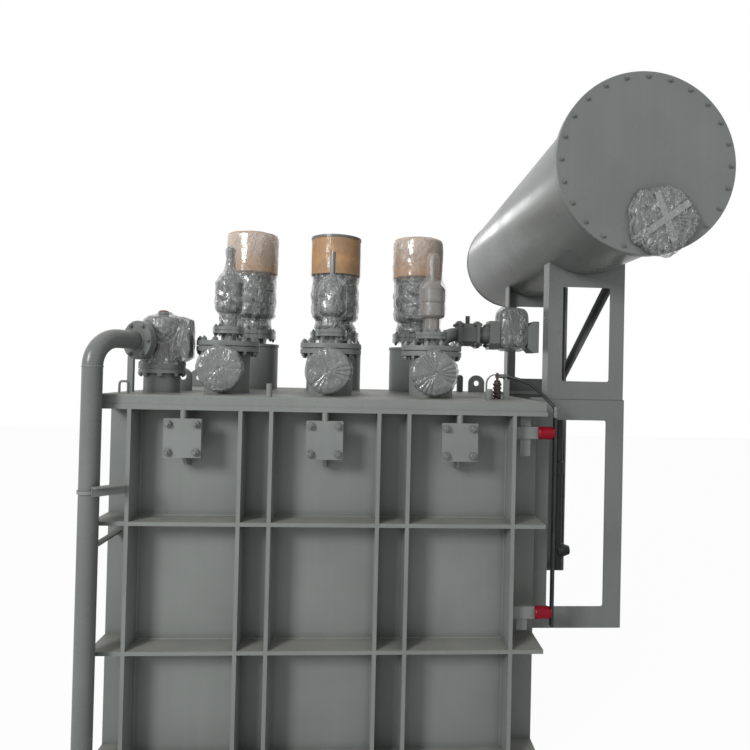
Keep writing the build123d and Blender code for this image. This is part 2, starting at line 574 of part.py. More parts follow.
def lead_radii(points):
    """For each turn of a route, an arc as large as the shorter of its two runs allows."""
    radii = []
    for before, at, after in zip(points, points[1:], points[2:]):
        shorter = min((at - before).length, (after - at).length)
        turn = radians((at - before).get_angle(after - at))
        radii.append(LEAD_BEND * shorter / tan(turn / 2))
    print("earthing lead radii", [round(radius) for radius in radii])
    return radii


def make_earthing():
    """Porcelain bushing, its flexible lead, and the flat bar on two post insulators."""
    rings = []
    for i in range(4):
        z = COVER_TOP + 8 + 17 * i
        rings += [(EARTH_R - 5, z), (EARTH_R, z + 5), (EARTH_R, z + 9), (EARTH_R - 5, z + 14)]
    stud = [(EARTH_R - 5, EARTH_TOP - 8), (EARTH_R - 9, EARTH_TOP), (STUD_R, EARTH_TOP),
            (STUD_R, EARTH_TOP + STUD)]
    bushing = turned([(EARTH_R, COVER_TOP)] + rings + stud)
    bushing += Pos(0, 0, EARTH_TOP + 18) * Box(2 * STUD_NUT, 2 * STUD_NUT, 16)
    save(Pos(EARTH_X, EARTH_Y, 0) * bushing, "earthing_bushing")

    bar_x = POST_LEFT + POST_LENGTH
    bar = block(bar_x, bar_x + BAR_THICK, POST_Y - BAR_WIDTH / 2, POST_Y + BAR_WIDTH / 2, BAR_LOW, BAR_TOP)
    save(bar, "earthing_bar")

    start = Vector(EARTH_X + STUD_NUT, EARTH_Y, EARTH_TOP + 18)
    end = Vector(bar_x + BAR_THICK / 2, POST_Y, BAR_TOP)
    route = [start, start + Vector(40, 0, 0), start + Vector(88, -28, -14),
             start + Vector(132, -72, -36), end + Vector(-34, 32, 84), end + Vector(0, 0, 44), end]
    path = FilletPolyline(*route, radius=lead_radii(route))
    lead = tube(path, Plane(path @ 0, z_dir=path % 0), LEAD_R)
    print("earthing lead", round(lead.volume), round(path.length * pi * LEAD_R ** 2))
    save(lead, "earthing_lead")

    post = turned([(POST_R - 2, 0), (POST_R, 4), (POST_R, POST_LENGTH - 14), (POST_R - 5, POST_LENGTH)])
    save(group([Pos(POST_LEFT, POST_Y, z) * Rot(0, 90, 0) * post for z in POST_Z]), "post_insulators")

    rib = FRONT_RIB_X[-1] + RIB_THICK / 2
    behind = POST_Y + POST_ARM_THICK / 2
    middle = (rib + POST_LEFT) / 2
    hangers = []
    for z, drop, rise in zip(POST_Z, POST_TAB_DROP, POST_TAB_RISE):
        arm = block(rib, POST_LEFT, POST_Y - POST_ARM_THICK / 2, behind, z - POST_ARM / 2, z + POST_ARM / 2)
        arm += block(middle - POST_TAB / 2, middle + POST_TAB / 2, behind - 1, behind + 6, z - drop, z + rise)
        hangers.append(arm)
    save(group(hangers), "insulator_brackets")


def make_breather():
    """Breather pipe down from the conservator, with its collar and the lower coupling."""
    pipe = turned([(BREATHER_R + 4, BREATHER_BOTTOM), (BREATHER_R + 4, BREATHER_BOTTOM + 56),
                   (BREATHER_R, BREATHER_BOTTOM + 62), (BREATHER_R, 1216), (BREATHER_R + 5, 1220),
                   (BREATHER_R + 5, 1276), (BREATHER_R, 1280), (BREATHER_R, SHELL_Z - SHELL_R + 40)])
    pipe = Pos(BREATHER_X, BREATHER_Y, 0) * pipe
    spigot = Pos(BREATHER_X, BREATHER_Y, BREATHER_BOTTOM + 86) * Rot(0, 90, 0) * turned(
        [(30, 0), (30, 30), (20, 58)])
    pipe = (pipe + spigot) - drum_y(SHELL_X, -SHELL_LENGTH / 2, SHELL_LENGTH / 2, SHELL_Z, SHELL_R)
    save(pipe, "breather_pipe")


make_skids()
make_tank()
make_pads()
make_bushings()
make_relief_valve()
make_cover_fittings()
make_conservator()
make_frames()
make_oil_line()
make_earthing()
make_breather()
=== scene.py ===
"""Looks of an oil-filled, magnetically controlled reactor: finishes, bolts, welds and plastic film.

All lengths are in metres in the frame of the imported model: X to the right, Y to the back, Z up.
"""
from functools import partial
from math import atan2, cos, pi, sin

import bpy
import numpy as np
from bpy.props import FloatProperty, FloatVectorProperty, IntProperty, PointerProperty
from mathutils import Matrix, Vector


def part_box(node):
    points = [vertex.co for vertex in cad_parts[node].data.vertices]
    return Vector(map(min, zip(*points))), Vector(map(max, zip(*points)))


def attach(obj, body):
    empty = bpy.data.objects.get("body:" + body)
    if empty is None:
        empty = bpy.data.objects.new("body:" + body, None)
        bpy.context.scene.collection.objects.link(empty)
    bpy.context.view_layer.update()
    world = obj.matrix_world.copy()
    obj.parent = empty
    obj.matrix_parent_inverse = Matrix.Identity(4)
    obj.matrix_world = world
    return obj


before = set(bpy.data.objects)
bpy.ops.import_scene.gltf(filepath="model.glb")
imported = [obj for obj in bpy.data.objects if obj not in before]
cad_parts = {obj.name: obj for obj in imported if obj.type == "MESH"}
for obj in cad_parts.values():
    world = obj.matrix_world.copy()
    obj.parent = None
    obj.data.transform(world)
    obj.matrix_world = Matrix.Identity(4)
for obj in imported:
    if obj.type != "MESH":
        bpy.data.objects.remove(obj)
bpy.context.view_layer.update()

bl_info = {
    "name": "Oil-filled reactor",
    "version": (1, 1, 0),
    "blender": (4, 5, 0),
    "location": "View3D > Sidebar > Reactor",
    "description": "Adds the finishes, fasteners, weld seams and plastic film of an oil-filled reactor",
    "category": "Add Mesh",
}

MM = 0.001

# sizes that the frame doesn't give, in metres
SMALL_FLANGE_R = 70 * MM
LARGE_FLANGE_R = 135 * MM
TURRET_R = 99 * MM
TURRET_FLANGE_R = 137 * MM
REAR_TURRET_R = 149 * MM
REAR_LID_R = 153 * MM
HANDHOLE_R = 94 * MM
CAP_R = 135 * MM
PIPE_R = 38 * MM
PIPE_BEND = 112 * MM
OUTLET_R = 81 * MM
# faces of the outlet's flange pair: distance from the valve's middle, and the way each looks
OUTLET_FACES = ((116 * MM, -1), (144 * MM, 1))
VALVE_NECK_R = 76 * MM
VALVE_FLANGE_R = 97 * MM
COVER_R = 326 * MM
SHELL_R = 300 * MM
RIB = 16 * MM
INNER_RIBS = (-339 * MM, -217 * MM, 217 * MM, 339 * MM)
SIDE_RIBS = (-160 * MM, 160 * MM)
TORCH_STEP = 8 * MM

UP, RIGHT, FRONT, BACK = (0, 0, 1), (1, 0, 0), (0, -1, 0), (0, 1, 0)


def linear(code):
    """Linear red, green, blue and alpha of an sRGB hex colour."""
    srgb = np.array([int(code[i:i + 2], 16) for i in (1, 3, 5)]) / 255
    rgb = np.where(srgb <= 0.04045, srgb / 12.92, ((srgb + 0.055) / 1.055) ** 2.4)
    return (*rgb.tolist(), 1.0)


def shade(colour, share):
    """The colour made darker or lighter by a share."""
    return tuple(share * value for value in colour[:3]) + (1.0,)


# materials

COLOUR = {"data_type": "RGBA"}


def add_node(tree, kind, settings=None, inputs=None):
    """Add one node, with its own settings, and set or feed its inputs in use by name or number.

    A node given for an input stands for its first output in use."""
    node = tree.nodes.new("ShaderNode" + kind)
    for key, value in (settings or {}).items():
        setattr(node, key, value)
    for key, value in (inputs or {}).items():
        usable = [socket for socket in node.inputs if socket.enabled]
        socket = usable[key] if isinstance(key, int) else next(each for each in usable if each.name == key)
        if isinstance(value, bpy.types.Node):
            value = next(each for each in value.outputs if each.enabled)
        if isinstance(value, bpy.types.NodeSocket):
            tree.links.new(value, socket)
        else:
            socket.default_value = value
    return node


def material(name):
    """Make an empty material. Returned are the means to add nodes to it and its object coordinates."""
    made = bpy.data.materials.new(name)
    made.use_nodes = True
    made.node_tree.nodes.clear()
    add = partial(add_node, made.node_tree)
    return add, add("TexCoord").outputs["Object"]


def painted_steel(name, colour, rough):
    """Alkyd enamel sprayed on hot-rolled plate: an even satin grey with fine orange peel, faint
    runs down the sides, handling scuffs, pale dust on what looks up and painted shade in the corners."""
    add, place = material(name)
    cloud = add("TexNoise", None, {"Vector": place, "Scale": 0.5 / (180 * MM), "Detail": 4.0})
    upright = add("Mapping", None, {"Vector": place, "Scale": (1.0, 1.0, 0.06)})
    runs = add("TexNoise", None, {"Vector": upright, "Scale": 0.5 / (22 * MM), "Detail": 3.0})
    level = add("Mapping", None, {"Vector": place, "Scale": (0.3, 1.0, 1.4)})
    rubs = add("TexNoise", None, {"Vector": level, "Scale": 0.5 / (11 * MM), "Detail": 5.0,
                                  "Roughness": 0.72})
    specks = add("TexNoise", None, {"Vector": place, "Scale": 0.5 / (5 * MM), "Detail": 2.0})
    peel = add("TexNoise", None, {"Vector": place, "Scale": 0.5 / (3.5 * MM), "Detail": 2.0})
    wavy = add("TexNoise", None, {"Vector": place, "Scale": 0.5 / (160 * MM), "Detail": 1.0})

    share = add("MapRange", None, {"Value": cloud, "From Min": 0.35, "From Max": 0.65})
    tone = add("Mix", COLOUR, {"Factor": share, "A": shade(colour, 0.93), "B": shade(colour, 1.06)})
    for marks, start, full, most, over in ((runs, 0.5, 0.75, 0.16, shade(colour, 1.35)),
                                           (rubs, 0.70, 0.75, 0.45, linear("#A0A3A1")),
                                           (specks, 0.71, 0.77, 0.45, linear("#3D403F"))):
        share = add("MapRange", None, {"Value": marks, "From Min": start, "From Max": full, "To Max": most})
        tone = add("Mix", COLOUR, {"Factor": share, "A": tone, "B": over})

    # painted shade: the colour darkens towards 0.42 of itself in corners and recesses, where ambient
    # occlusion finds little open sky
    open_sky = add("AmbientOcclusion", {"samples": 8}, {"Distance": 45 * MM}).outputs["AO"]
    corner = add("MapRange", None, {"Value": open_sky, "From Min": 0.3, "From Max": 0.9, "To Min": 0.55,
                                    "To Max": 0.0})
    tone = add("Mix", COLOUR, {"Factor": corner, "A": tone, "B": shade(colour, 0.42)})

    normal = add("NewGeometry").outputs["Normal"]
    upward = add("SeparateXYZ", None, {"Vector": normal}).outputs["Z"]
    upward = add("MapRange", None, {"Value": upward, "From Min": 0.5, "From Max": 0.95})
    patchy = add("TexNoise", None, {"Vector": place, "Scale": 0.5 / (45 * MM), "Detail": 4.0})
    patchy = add("MapRange", None, {"Value": patchy, "From Min": 0.3, "From Max": 0.7, "To Min": 0.2,
                                    "To Max": 0.55})
    dust = add("Math", {"operation": "MULTIPLY"}, {0: upward, 1: patchy})
    tone = add("Mix", COLOUR, {"Factor": dust, "A": tone, "B": linear("#97948B")})

    sheen = add("MapRange", None, {"Value": cloud, "From Min": 0.3, "From Max": 0.7, "To Min": rough - 0.04,
                                   "To Max": rough + 0.07})
    sheen = add("Math", {"operation": "MULTIPLY_ADD"}, {0: dust, 1: 0.35, 2: sheen})
    bump = add("Bump", None, {"Height": wavy, "Distance": 4 * MM, "Strength": 0.45})
    bump = add("Bump", None, {"Height": peel, "Distance": 0.3 * MM, "Strength": 0.5, "Normal": bump})
    bump = add("Bump", None, {"Height": rubs, "Distance": 0.4 * MM, "Strength": 0.4, "Normal": bump})
    shader = add("BsdfPrincipled", None, {"Base Color": tone, "Roughness": sheen, "Normal": bump, "IOR": 1.5,
                                          "Specular IOR Level": 0.32})
    add("OutputMaterial", None, {"Surface": shader})


def glazed_porcelain(name, colour, rough):
    """Fired porcelain under a clear glaze: an even colour and a mirror-like coat with slow waves."""
    add, place = material(name)
    cloud = add("TexNoise", None, {"Vector": place, "Scale": 0.5 / (30 * MM), "Detail": 3.0})
    waves = add("TexNoise", None, {"Vector": place, "Scale": 0.5 / (18 * MM), "Detail": 1.0})
    tone = add("Mix", COLOUR, {"Factor": cloud, "A": shade(colour, 0.8), "B": shade(colour, 1.15)})
    sheen = add("MapRange", None, {"Value": cloud, "From Min": 0.3, "From Max": 0.7, "To Min": rough - 0.04,
                                   "To Max": rough + 0.08})
    bump = add("Bump", None, {"Height": waves, "Distance": 0.6 * MM, "Strength": 0.6})
    shader = add("BsdfPrincipled", None, {"Base Color": tone, "Roughness": sheen, "Normal": bump,
                                          "Coat Weight": 0.5, "Coat Roughness": 0.08})
    add("OutputMaterial", None, {"Surface": shader})


def pressed_board(name, colour):
    """Unvarnished pressboard wound into a tube: matte tan with upright fibres and darker laps."""
    add, place = material(name)
    upright = add("Mapping", None, {"Vector": place, "Scale": (1.0, 1.0, 0.12)})
    fibres = add("TexNoise", None, {"Vector": upright, "Scale": 0.5 / (3 * MM), "Detail": 5.0,
                                    "Roughness": 0.7})
    level = add("Mapping", None, {"Vector": place, "Scale": (0.25, 0.25, 1.0)})
    laps = add("TexNoise", None, {"Vector": level, "Scale": 0.5 / (35 * MM), "Detail": 3.0})
    share = add("MapRange", None, {"Value": laps, "From Min": 0.3, "From Max": 0.7})
    tone = add("Mix", COLOUR, {"Factor": share, "A": shade(colour, 0.78), "B": shade(colour, 1.15)})
    share = add("MapRange", None, {"Value": fibres, "From Min": 0.5, "From Max": 0.8, "To Max": 0.5})
    tone = add("Mix", COLOUR, {"Factor": share, "A": tone, "B": shade(colour, 0.5)})
    bump = add("Bump", None, {"Height": fibres, "Distance": 0.6 * MM, "Strength": 0.7})
    shader = add("BsdfPrincipled", None, {"Base Color": tone, "Roughness": 0.72, "Normal": bump})
    add("OutputMaterial", None, {"Surface": shader})


def black_rubber(name, colour, rough):
    """Extruded black rubber: a dull sheen, dust in its pores and lighter spots where it is rubbed."""
    add, place = material(name)
    rubbed = add("TexNoise", None, {"Vector": place, "Scale": 0.5 / (20 * MM), "Detail": 4.0})
    pores = add("TexNoise", None, {"Vector": place, "Scale": 0.5 / (1.5 * MM), "Detail": 2.0})
    share = add("MapRange", None, {"Value": rubbed, "From Min": 0.5, "From Max": 0.8, "To Max": 0.35})
    tone = add("Mix", COLOUR, {"Factor": share, "A": colour, "B": linear("#4A4C4D")})
    sheen = add("MapRange", None, {"Value": rubbed, "From Min": 0.3, "From Max": 0.7, "To Min": rough - 0.08,
                                   "To Max": rough + 0.12})
    bump = add("Bump", None, {"Height": pores, "Distance": 0.2 * MM, "Strength": 0.5})
    shader = add("BsdfPrincipled", None, {"Base Color": tone, "Roughness": sheen, "Normal": bump})
    add("OutputMaterial", None, {"Surface": shader})


def cast_resin(name, colour):
    """Cast epoxy resin: a saturated red with a satin skin and faint flow marks along the mould."""
    add, place = material(name)
    along = add("Mapping", None, {"Vector": place, "Scale": (0.3, 1.0, 1.0)})
    flow = add("TexNoise", None, {"Vector": along, "Scale": 0.5 / (20 * MM), "Detail": 3.0})
    grain = add("TexNoise", None, {"Vector": place, "Scale": 0.5 / (4 * MM), "Detail": 2.0})
    share = add("MapRange", None, {"Value": flow, "From Min": 0.3, "From Max": 0.7})
    tone = add("Mix", COLOUR, {"Factor": share, "A": shade(colour, 0.72), "B": colour})
    sheen = add("MapRange", None, {"Value": flow, "From Min": 0.3, "From Max": 0.7, "To Min": 0.28,
                                   "To Max": 0.42})
    bump = add("Bump", None, {"Height": grain, "Distance": 0.3 * MM, "Strength": 0.4})
    shader = add("BsdfPrincipled", None, {"Base Color": tone, "Roughness": sheen, "Normal": bump,
                                          "Specular IOR Level": 0.2})
    add("OutputMaterial", None, {"Surface": shader})


def zinc_plate(name, colour):
    """Hot-dip galvanised steel: dull grey metal with zinc spangle of about 7 mm and dark stains."""
    add, place = material(name)
    spangle = add("TexVoronoi", None, {"Vector": place, "Scale": 1 / (7 * MM)})
    stain = add("TexNoise", None, {"Vector": place, "Scale": 0.5 / (12 * MM), "Detail": 4.0})
    share = add("MapRange", None, {"Value": spangle, "From Max": 0.7})
    tone = add("Mix", COLOUR, {"Factor": share, "A": colour, "B": shade(colour, 1.3)})
    share = add("MapRange", None, {"Value": stain, "From Min": 0.55, "From Max": 0.75, "To Max": 0.6})
    tone = add("Mix", COLOUR, {"Factor": share, "A": tone, "B": linear("#4C4940")})
    sheen = add("MapRange", None, {"Value": stain, "From Min": 0.3, "From Max": 0.7, "To Min": 0.36,
                                   "To Max": 0.62})
    bump = add("Bump", None, {"Height": stain, "Distance": 0.4 * MM, "Strength": 0.5})
    shader = add("BsdfPrincipled", None, {"Base Color": tone, "Roughness": sheen, "Normal": bump,
                                          "Metallic": 0.6})
    add("OutputMaterial", None, {"Surface": shader})


def stretch_film(name, colour, haze, doubled, fog, heights):
    """Clear polyethylene stretch film, wound on by hand: see-through, with painted glints, a pale colour
    along its creases, painted shade, a darker colour in its folds where it is also denser, and more
    opaque and paler between two heights towards its top.

    Haze is its least cover, doubled what a second layer adds to it, and fog what it adds towards the top."""
    add, place = material(name)
    slant = add("Mapping", None, {"Vector": place, "Rotation": (0.5, 0.4, 0.3),
                                  "Scale": (1.0, 1.0, 0.45)})
    layers = add("TexNoise", None, {"Vector": slant, "Scale": 0.5 / (17 * MM), "Detail": 2.0,
                                    "Distortion": 1.3})
    rise = add("Math", {"operation": "SUBTRACT"}, {0: layers, 1: 0.5})
    rise = add("Math", {"operation": "ABSOLUTE"}, {0: rise})
    crease_and_glint = add("MapRange", None, {"Value": rise, "From Max": 0.030, "To Min": 1.0, "To Max": 0.0})
    fine = add("TexNoise", None, {"Vector": place, "Scale": 0.5 / (7 * MM), "Detail": 2.0})
    see = add("MapRange", None, {"Value": layers, "From Min": 0.42, "From Max": 0.62,
                                 "To Min": haze + doubled, "To Max": haze})
    see = add("Math", {"operation": "MULTIPLY_ADD"}, {0: crease_and_glint, 1: 0.5 * doubled, 2: see})
    # painted shade: the colour darkens in the folds, down to 1 - 1.7 doubled of itself
    share = add("MapRange", None, {"Value": layers, "From Min": 0.36, "From Max": 0.58})
    tone = add("Mix", COLOUR, {"Factor": share, "A": shade(colour, 1 - 1.7 * doubled), "B": colour})
    # painted glints: the colour turns pale along the creases, more so where doubled is large
    share = add("Math", {"operation": "MULTIPLY"}, {0: crease_and_glint, 1: 1.6 * doubled})
    tone = add("Mix", COLOUR, {"Factor": share, "A": tone, "B": linear("#D5D7D6")})
    # more opaque, and so paler, between two heights towards the top
    height = add("SeparateXYZ", None, {"Vector": place}).outputs["Z"]
    opaque_towards_top = add("MapRange", {"interpolation_type": "SMOOTHSTEP"},
               {"Value": height, "From Min": heights[0], "From Max": heights[1], "To Max": fog})
    see = add("Math", {"operation": "ADD", "use_clamp": True}, {0: see, 1: opaque_towards_top})
    bump = add("Bump", None, {"Height": layers, "Distance": 38 * MM * doubled, "Strength": 0.9})
    bump = add("Bump", None, {"Height": crease_and_glint, "Distance": 3 * MM, "Strength": 0.8, "Normal": bump})
    bump = add("Bump", None, {"Height": fine, "Distance": 1 * MM, "Strength": 0.5, "Normal": bump})
    shader = add("BsdfPrincipled", None, {"Base Color": tone, "Alpha": see, "Roughness": 0.2,
                                          "IOR": 1.51, "Specular IOR Level": 0.9, "Normal": bump,
                                          "Coat Weight": 1.0, "Coat Roughness": 0.12})
    add("OutputMaterial", None, {"Surface": shader})


# surfaces

def in_mm(*values):
    """Numbers or rows of numbers given in millimetres, as an array in metres."""
    return np.array(values) * MM


def grid_faces(rows, columns):
    """Quads of rows of points, each row closed on itself, facing out where rows run up."""
    r, c = np.meshgrid(np.arange(rows - 1), np.arange(columns), indexing="ij")
    right = (c + 1) % columns
    low, up = r * columns, (r + 1) * columns
    return np.stack([low + c, low + right, up + right, up + c], -1).reshape(-1, 4)


def capped(points):
    """Mesh of a rows by columns grid of points, closed by a face over its first and last rows."""
    rows, columns = points.shape[:2]
    rim = np.arange(columns)
    caps = np.stack([rim[::-1], rim + (rows - 1) * columns])
    return points.reshape(-1, 3), [grid_faces(rows, columns), caps]


def lathe(profile, segments):
    """Closed surface of revolution about Z: point (r, z) at angle t is (r cos t, r sin t, z)."""
    r, z = np.array(profile, float).T
    t = np.arange(segments) * 2 * pi / segments
    height = np.repeat(z[:, None], segments, 1)
    return capped(np.stack([np.outer(r, np.cos(t)), np.outer(r, np.sin(t)), height], -1))


def joined(meshes):
    """Several meshes as one: points are stacked and face numbers shifted by the points before them."""
    points, faces, start = [], [], 0
    for verts, blocks in meshes:
        points.append(verts)
        faces += [block + start for block in blocks]
        start += len(verts)
    return np.concatenate(points), faces


def bases(axes):
    """Right-handed frames whose third direction is each axis."""
    a = axes / np.linalg.norm(axes, axis=1, keepdims=True)
    other = np.where(np.abs(a[:, 2:3]) < 0.9, np.array([[0.0, 0, 1]]), np.array([[1.0, 0, 0]]))
    e1 = np.cross(other, a)
    e1 /= np.linalg.norm(e1, axis=1, keepdims=True)
    return np.stack([e1, np.cross(a, e1), a], axis=1)


def copies(mesh, spots, axis):
    """The mesh once at each spot, its Z turned to the axis: p = spot + x e1 + y e2 + z a."""
    verts, blocks = mesh
    spots = np.array(spots, float).reshape(-1, 3)
    axes = np.broadcast_to(np.array(axis, float), spots.shape)
    points = spots[:, None, :] + np.einsum("nj,kji->kni", verts, bases(axes))
    shift = np.arange(len(spots))[:, None, None] * len(verts)
    return points.reshape(-1, 3), [(block[None] + shift).reshape(-1, block.shape[1]) for block in blocks]


def ring(centre, radius, count, axis, phase=0.0):
    """Points evenly spaced on a circle about an axis: centre + R (cos t e1 + sin t e2)."""
    e1, e2, _ = bases(np.array([axis], float))[0]
    t = phase + np.arange(count) * 2 * pi / count
    return np.array(centre, float) + radius * (np.outer(np.cos(t), e1) + np.outer(np.sin(t), e2))


def tube(path, radii, sides):
    """Closed tube along a path: at each point a ring of its own radius, square to the path."""
    frames = bases(np.gradient(path, axis=0))
    t = np.arange(sides) * 2 * pi / sides
    c, s = np.cos(t)[None, :, None], np.sin(t)[None, :, None]
    return capped(path[:, None] + radii[:, None, None] * (c * frames[:, None, 0] + s * frames[:, None, 1]))


def ribbon(path, side, width, thick):
    """Flat strip along a path: a point is path + w side + t n, with n square to the path and the side."""
    up = np.cross(np.gradient(path, axis=0), side)
    up /= np.linalg.norm(up, axis=1, keepdims=True)
    w = np.array([0.5, 0.5, -0.5, -0.5]) * width
    t = np.array([-0.5, 0.5, 0.5, -0.5]) * thick
    return capped(path[:, None] + w[None, :, None] * side + t[None, :, None] * up[:, None])


def crumple(points, size, seed):
    """Height of crushed film at each point, about nought to one.

    It is the mean of triangle waves |2 frac(k.p + phase) - 1| along random directions k, so flat
    facets meet in sharp creases. Slow sines first bend the points, so that no crease runs far, and
    a second set at 0.45 of the size adds a third of its height."""
    rng = np.random.default_rng(seed)
    waves, total = 5, 0.0
    for scale, weight in ((size, 1.0), (0.45 * size, 0.35)):
        p = points / scale
        p = p + 0.55 * np.sin(p @ rng.normal(0, 0.8, (3, 3)) + rng.uniform(0, 2 * pi, 3))
        k = rng.normal(0, 1, (3, waves))
        k *= rng.uniform(0.35, 0.75, waves) / np.linalg.norm(k, axis=0)
        wave = np.abs(2 * ((p @ k + rng.uniform(0, 1, waves)) % 1) - 1).mean(-1)
        total = total + weight * (0.5 + 1.6 * (wave - 0.5))
    return np.clip(total / 1.35, 0, 1.2)


def wrap(profile, rows, columns, depth, size, seed, section=None, pleats=0, pleat=0.0):
    """Film drawn round a turned body, closed in on it at both ends.

    A smooth point at share v of the profile and angle t is (r s cos t, r s sin t, z), where s widens
    the circle to the body's own section. It moves out along the profile's normal by the depth times
    the crumple there, plus the pleats: pleat times |sin(n t / 2 + 2 sin 3 t)| away from the middle.
    Both die away over a small share of the profile at its ends."""
    ends = 0.06
    r, z = np.array(profile, float).T
    far = np.concatenate([[0], np.cumsum(np.hypot(np.diff(r), np.diff(z)))])
    share = np.linspace(0, far[-1], rows)
    r, z = np.interp(share, far, r), np.interp(share, far, z)
    dr, dz = np.gradient(r), np.gradient(z)
    out = np.stack([dz, -dr], -1) / np.hypot(dr, dz)[:, None]
    v = share[:, None] / far[-1]
    t = np.arange(columns)[None, :] * 2 * pi / columns
    wide = 1.0 if section is None else section(t, z[:, None])
    x, y = r[:, None] * wide * np.cos(t), r[:, None] * wide * np.sin(t)
    height = z[:, None] + 0 * t
    fade = np.clip(np.minimum(v, 1 - v) / ends, 0, 1)
    d = depth * crumple(np.stack([x, y, height], -1), size, seed)
    if pleats:
        d = d + pleat * np.abs(np.sin(pleats * t / 2 + 2 * np.sin(3 * t))) * np.clip(2 * (1 - v), 0, 1)
    d = d * fade
    x = x + d * out[:, :1] * np.cos(t)
    y = y + d * out[:, :1] * np.sin(t)
    return capped(np.stack([x, y, height + d * out[:, 1:]], -1))


def rounded_block(low, high, power, depth, size, seed):
    """Film on a block: a superellipsoid x = a c(u) c(v), y = b c(u) s(v), z = h s(u), in which c and s
    are cosine and sine raised to a small power with their sign kept, pushed out by the crumple."""
    rows, columns = 90, 160
    centre, half = (low + high) / 2, (high - low) / 2
    u = np.linspace(-pi / 2, pi / 2, rows)[:, None]
    v = np.arange(columns)[None, :] * 2 * pi / columns
    level = np.abs(np.cos(u)) ** power
    x = level * np.sign(np.cos(v)) * np.abs(np.cos(v)) ** power
    y = level * np.sign(np.sin(v)) * np.abs(np.sin(v)) ** power
    z = np.sign(np.sin(u)) * np.abs(np.sin(u)) ** power + 0 * v
    unit = np.stack([x, y, z], -1)
    points = centre + unit * half
    away = unit / np.linalg.norm(unit, axis=-1, keepdims=True)
    d = depth * crumple(points, size, seed) * np.minimum(1, 4 * np.abs(np.cos(u)))
    return capped(points + away * d[..., None])


def swung(mesh, spot, axis):
    """The mesh with its Z turned to an axis and its origin set on a spot."""
    verts, blocks = mesh
    return verts @ bases(np.array([axis], float))[0] + np.array(spot, float), blocks


def moved(mesh, spot):
    """The mesh shifted to a spot, unturned."""
    verts, blocks = mesh
    return verts + np.array(spot, float), blocks


def bolt(flats, tall, stud):
    """A hexagon nut on a stud with a washer under it, standing on z = 0."""
    corner = flats / 3 ** 0.5
    low = 0.12 * flats
    top = low + 0.5 * flats
    washer = 0.62 * flats + 2 * MM
    return joined([lathe([(corner, low), (corner, top - 0.06 * flats), (0.86 * corner, top)], 6),
                   lathe([(stud, -1 * MM), (stud, tall - 2 * MM), (0.7 * stud, tall)], 8),
                   lathe([(washer, 0.0), (washer, low)], 12)])


def nuts_round(nut, centre, radius, count, axis, way=1, phase=0.0):
    """Nuts evenly spaced on a circle about an axis, standing along it or, where way is -1, against it."""
    return copies(nut, ring(centre, radius, count, axis, phase), way * np.array(axis))


def swelling(count, size, seed):
    """Radius of a weld bead at each pass of the torch: size (1 + 0.16 sin 2.4 i + a random share)."""
    rng = np.random.default_rng(seed)
    return size * (1 + 0.16 * np.sin(np.arange(count) * 2.4) + rng.normal(0, 0.05, count))


def bead(first, last, size, seed):
    """A weld bead from point to point: a six-sided rod that swells with each pass of the torch."""
    first, last = np.array(first, float), np.array(last, float)
    count = max(3, int(np.linalg.norm(last - first) / TORCH_STEP))
    s = np.linspace(0, 1, count)[:, None]
    return tube(first + s * (last - first), swelling(count, size, seed), 6)


def round_bead(centre, radius, axis, size, seed):
    """A weld bead round a circle, closed on itself: a point at angle t along it and q around it is
    ((R + r cos q) cos t, (R + r cos q) sin t, r sin q), where r swells with each pass."""
    count = max(24, int(2 * pi * radius / TORCH_STEP))
    t = np.arange(count) * 2 * pi / count
    q = np.arange(6) * 2 * pi / 6
    thick = swelling(count, size, seed)
    r = radius + np.outer(thick, np.cos(q))
    z = np.outer(thick, np.sin(q))
    points = np.stack([r * np.cos(t)[:, None], r * np.sin(t)[:, None], z], -1)
    quads = grid_faces(count + 1, 6) % (count * 6)
    return swung((points.reshape(-1, 3), [quads[:, ::-1]]), centre, axis)


def finish_of(name):
    """The finish of that name, which the surface finishes operator makes."""
    found = bpy.data.materials.get(name)
    if found is None:
        raise RuntimeError(f"no finish named {name}; add the surface finishes first")
    return found


def piece(name, mesh, finish, smooth=True, angle=None):
    """Make the object at the origin with its place in its mesh, and have it ride on the machine."""
    verts, blocks = mesh
    data = bpy.data.meshes.new(name)
    data.from_pydata(verts.tolist(), [], [face for block in blocks for face in block.tolist()])
    data.validate()
    made = bpy.data.objects.new(name, data)
    bpy.context.scene.collection.objects.link(made)
    data.materials.append(finish_of(finish))
    data.polygons.foreach_set("use_smooth", np.full(len(data.polygons), smooth))
    if angle is not None:
        data.set_sharp_from_angle(angle=angle)
    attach(made, "root")


# places read from the frame

def box(node):
    """Lowest and highest corners of a node as arrays."""
    low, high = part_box(node)
    return np.array(low), np.array(high)


def middle_of(node):
    """Middle of a node's box."""
    low, high = box(node)
    return (low + high) / 2


def three_centres(node, radius):
    """Foot of each of three like round pieces in a row along X."""
    low, high = box(node)
    first, last = low[0] + radius, high[0] - radius
    y = (low[1] + high[1]) / 2
    return [np.array([x, y, low[2]]) for x in (first, (first + last) / 2, last)]


def outlet_axis():
    """Middle of the relief valve at its outlet's height, and the level way from it to the down pipe."""
    x, y, _ = middle_of("relief_valve_neck")
    low, high = box("down_pipe")
    swing = atan2(low[1] + PIPE_R - y, low[0] + PIPE_R - x)
    return np.array([x, y, high[2] - OUTLET_R]), np.array([cos(swing), sin(swing), 0.0])


# what a user can change

Length = partial(FloatProperty, unit="LENGTH", subtype="DISTANCE")
Colour = partial(FloatVectorProperty, size=4, subtype="COLOR")


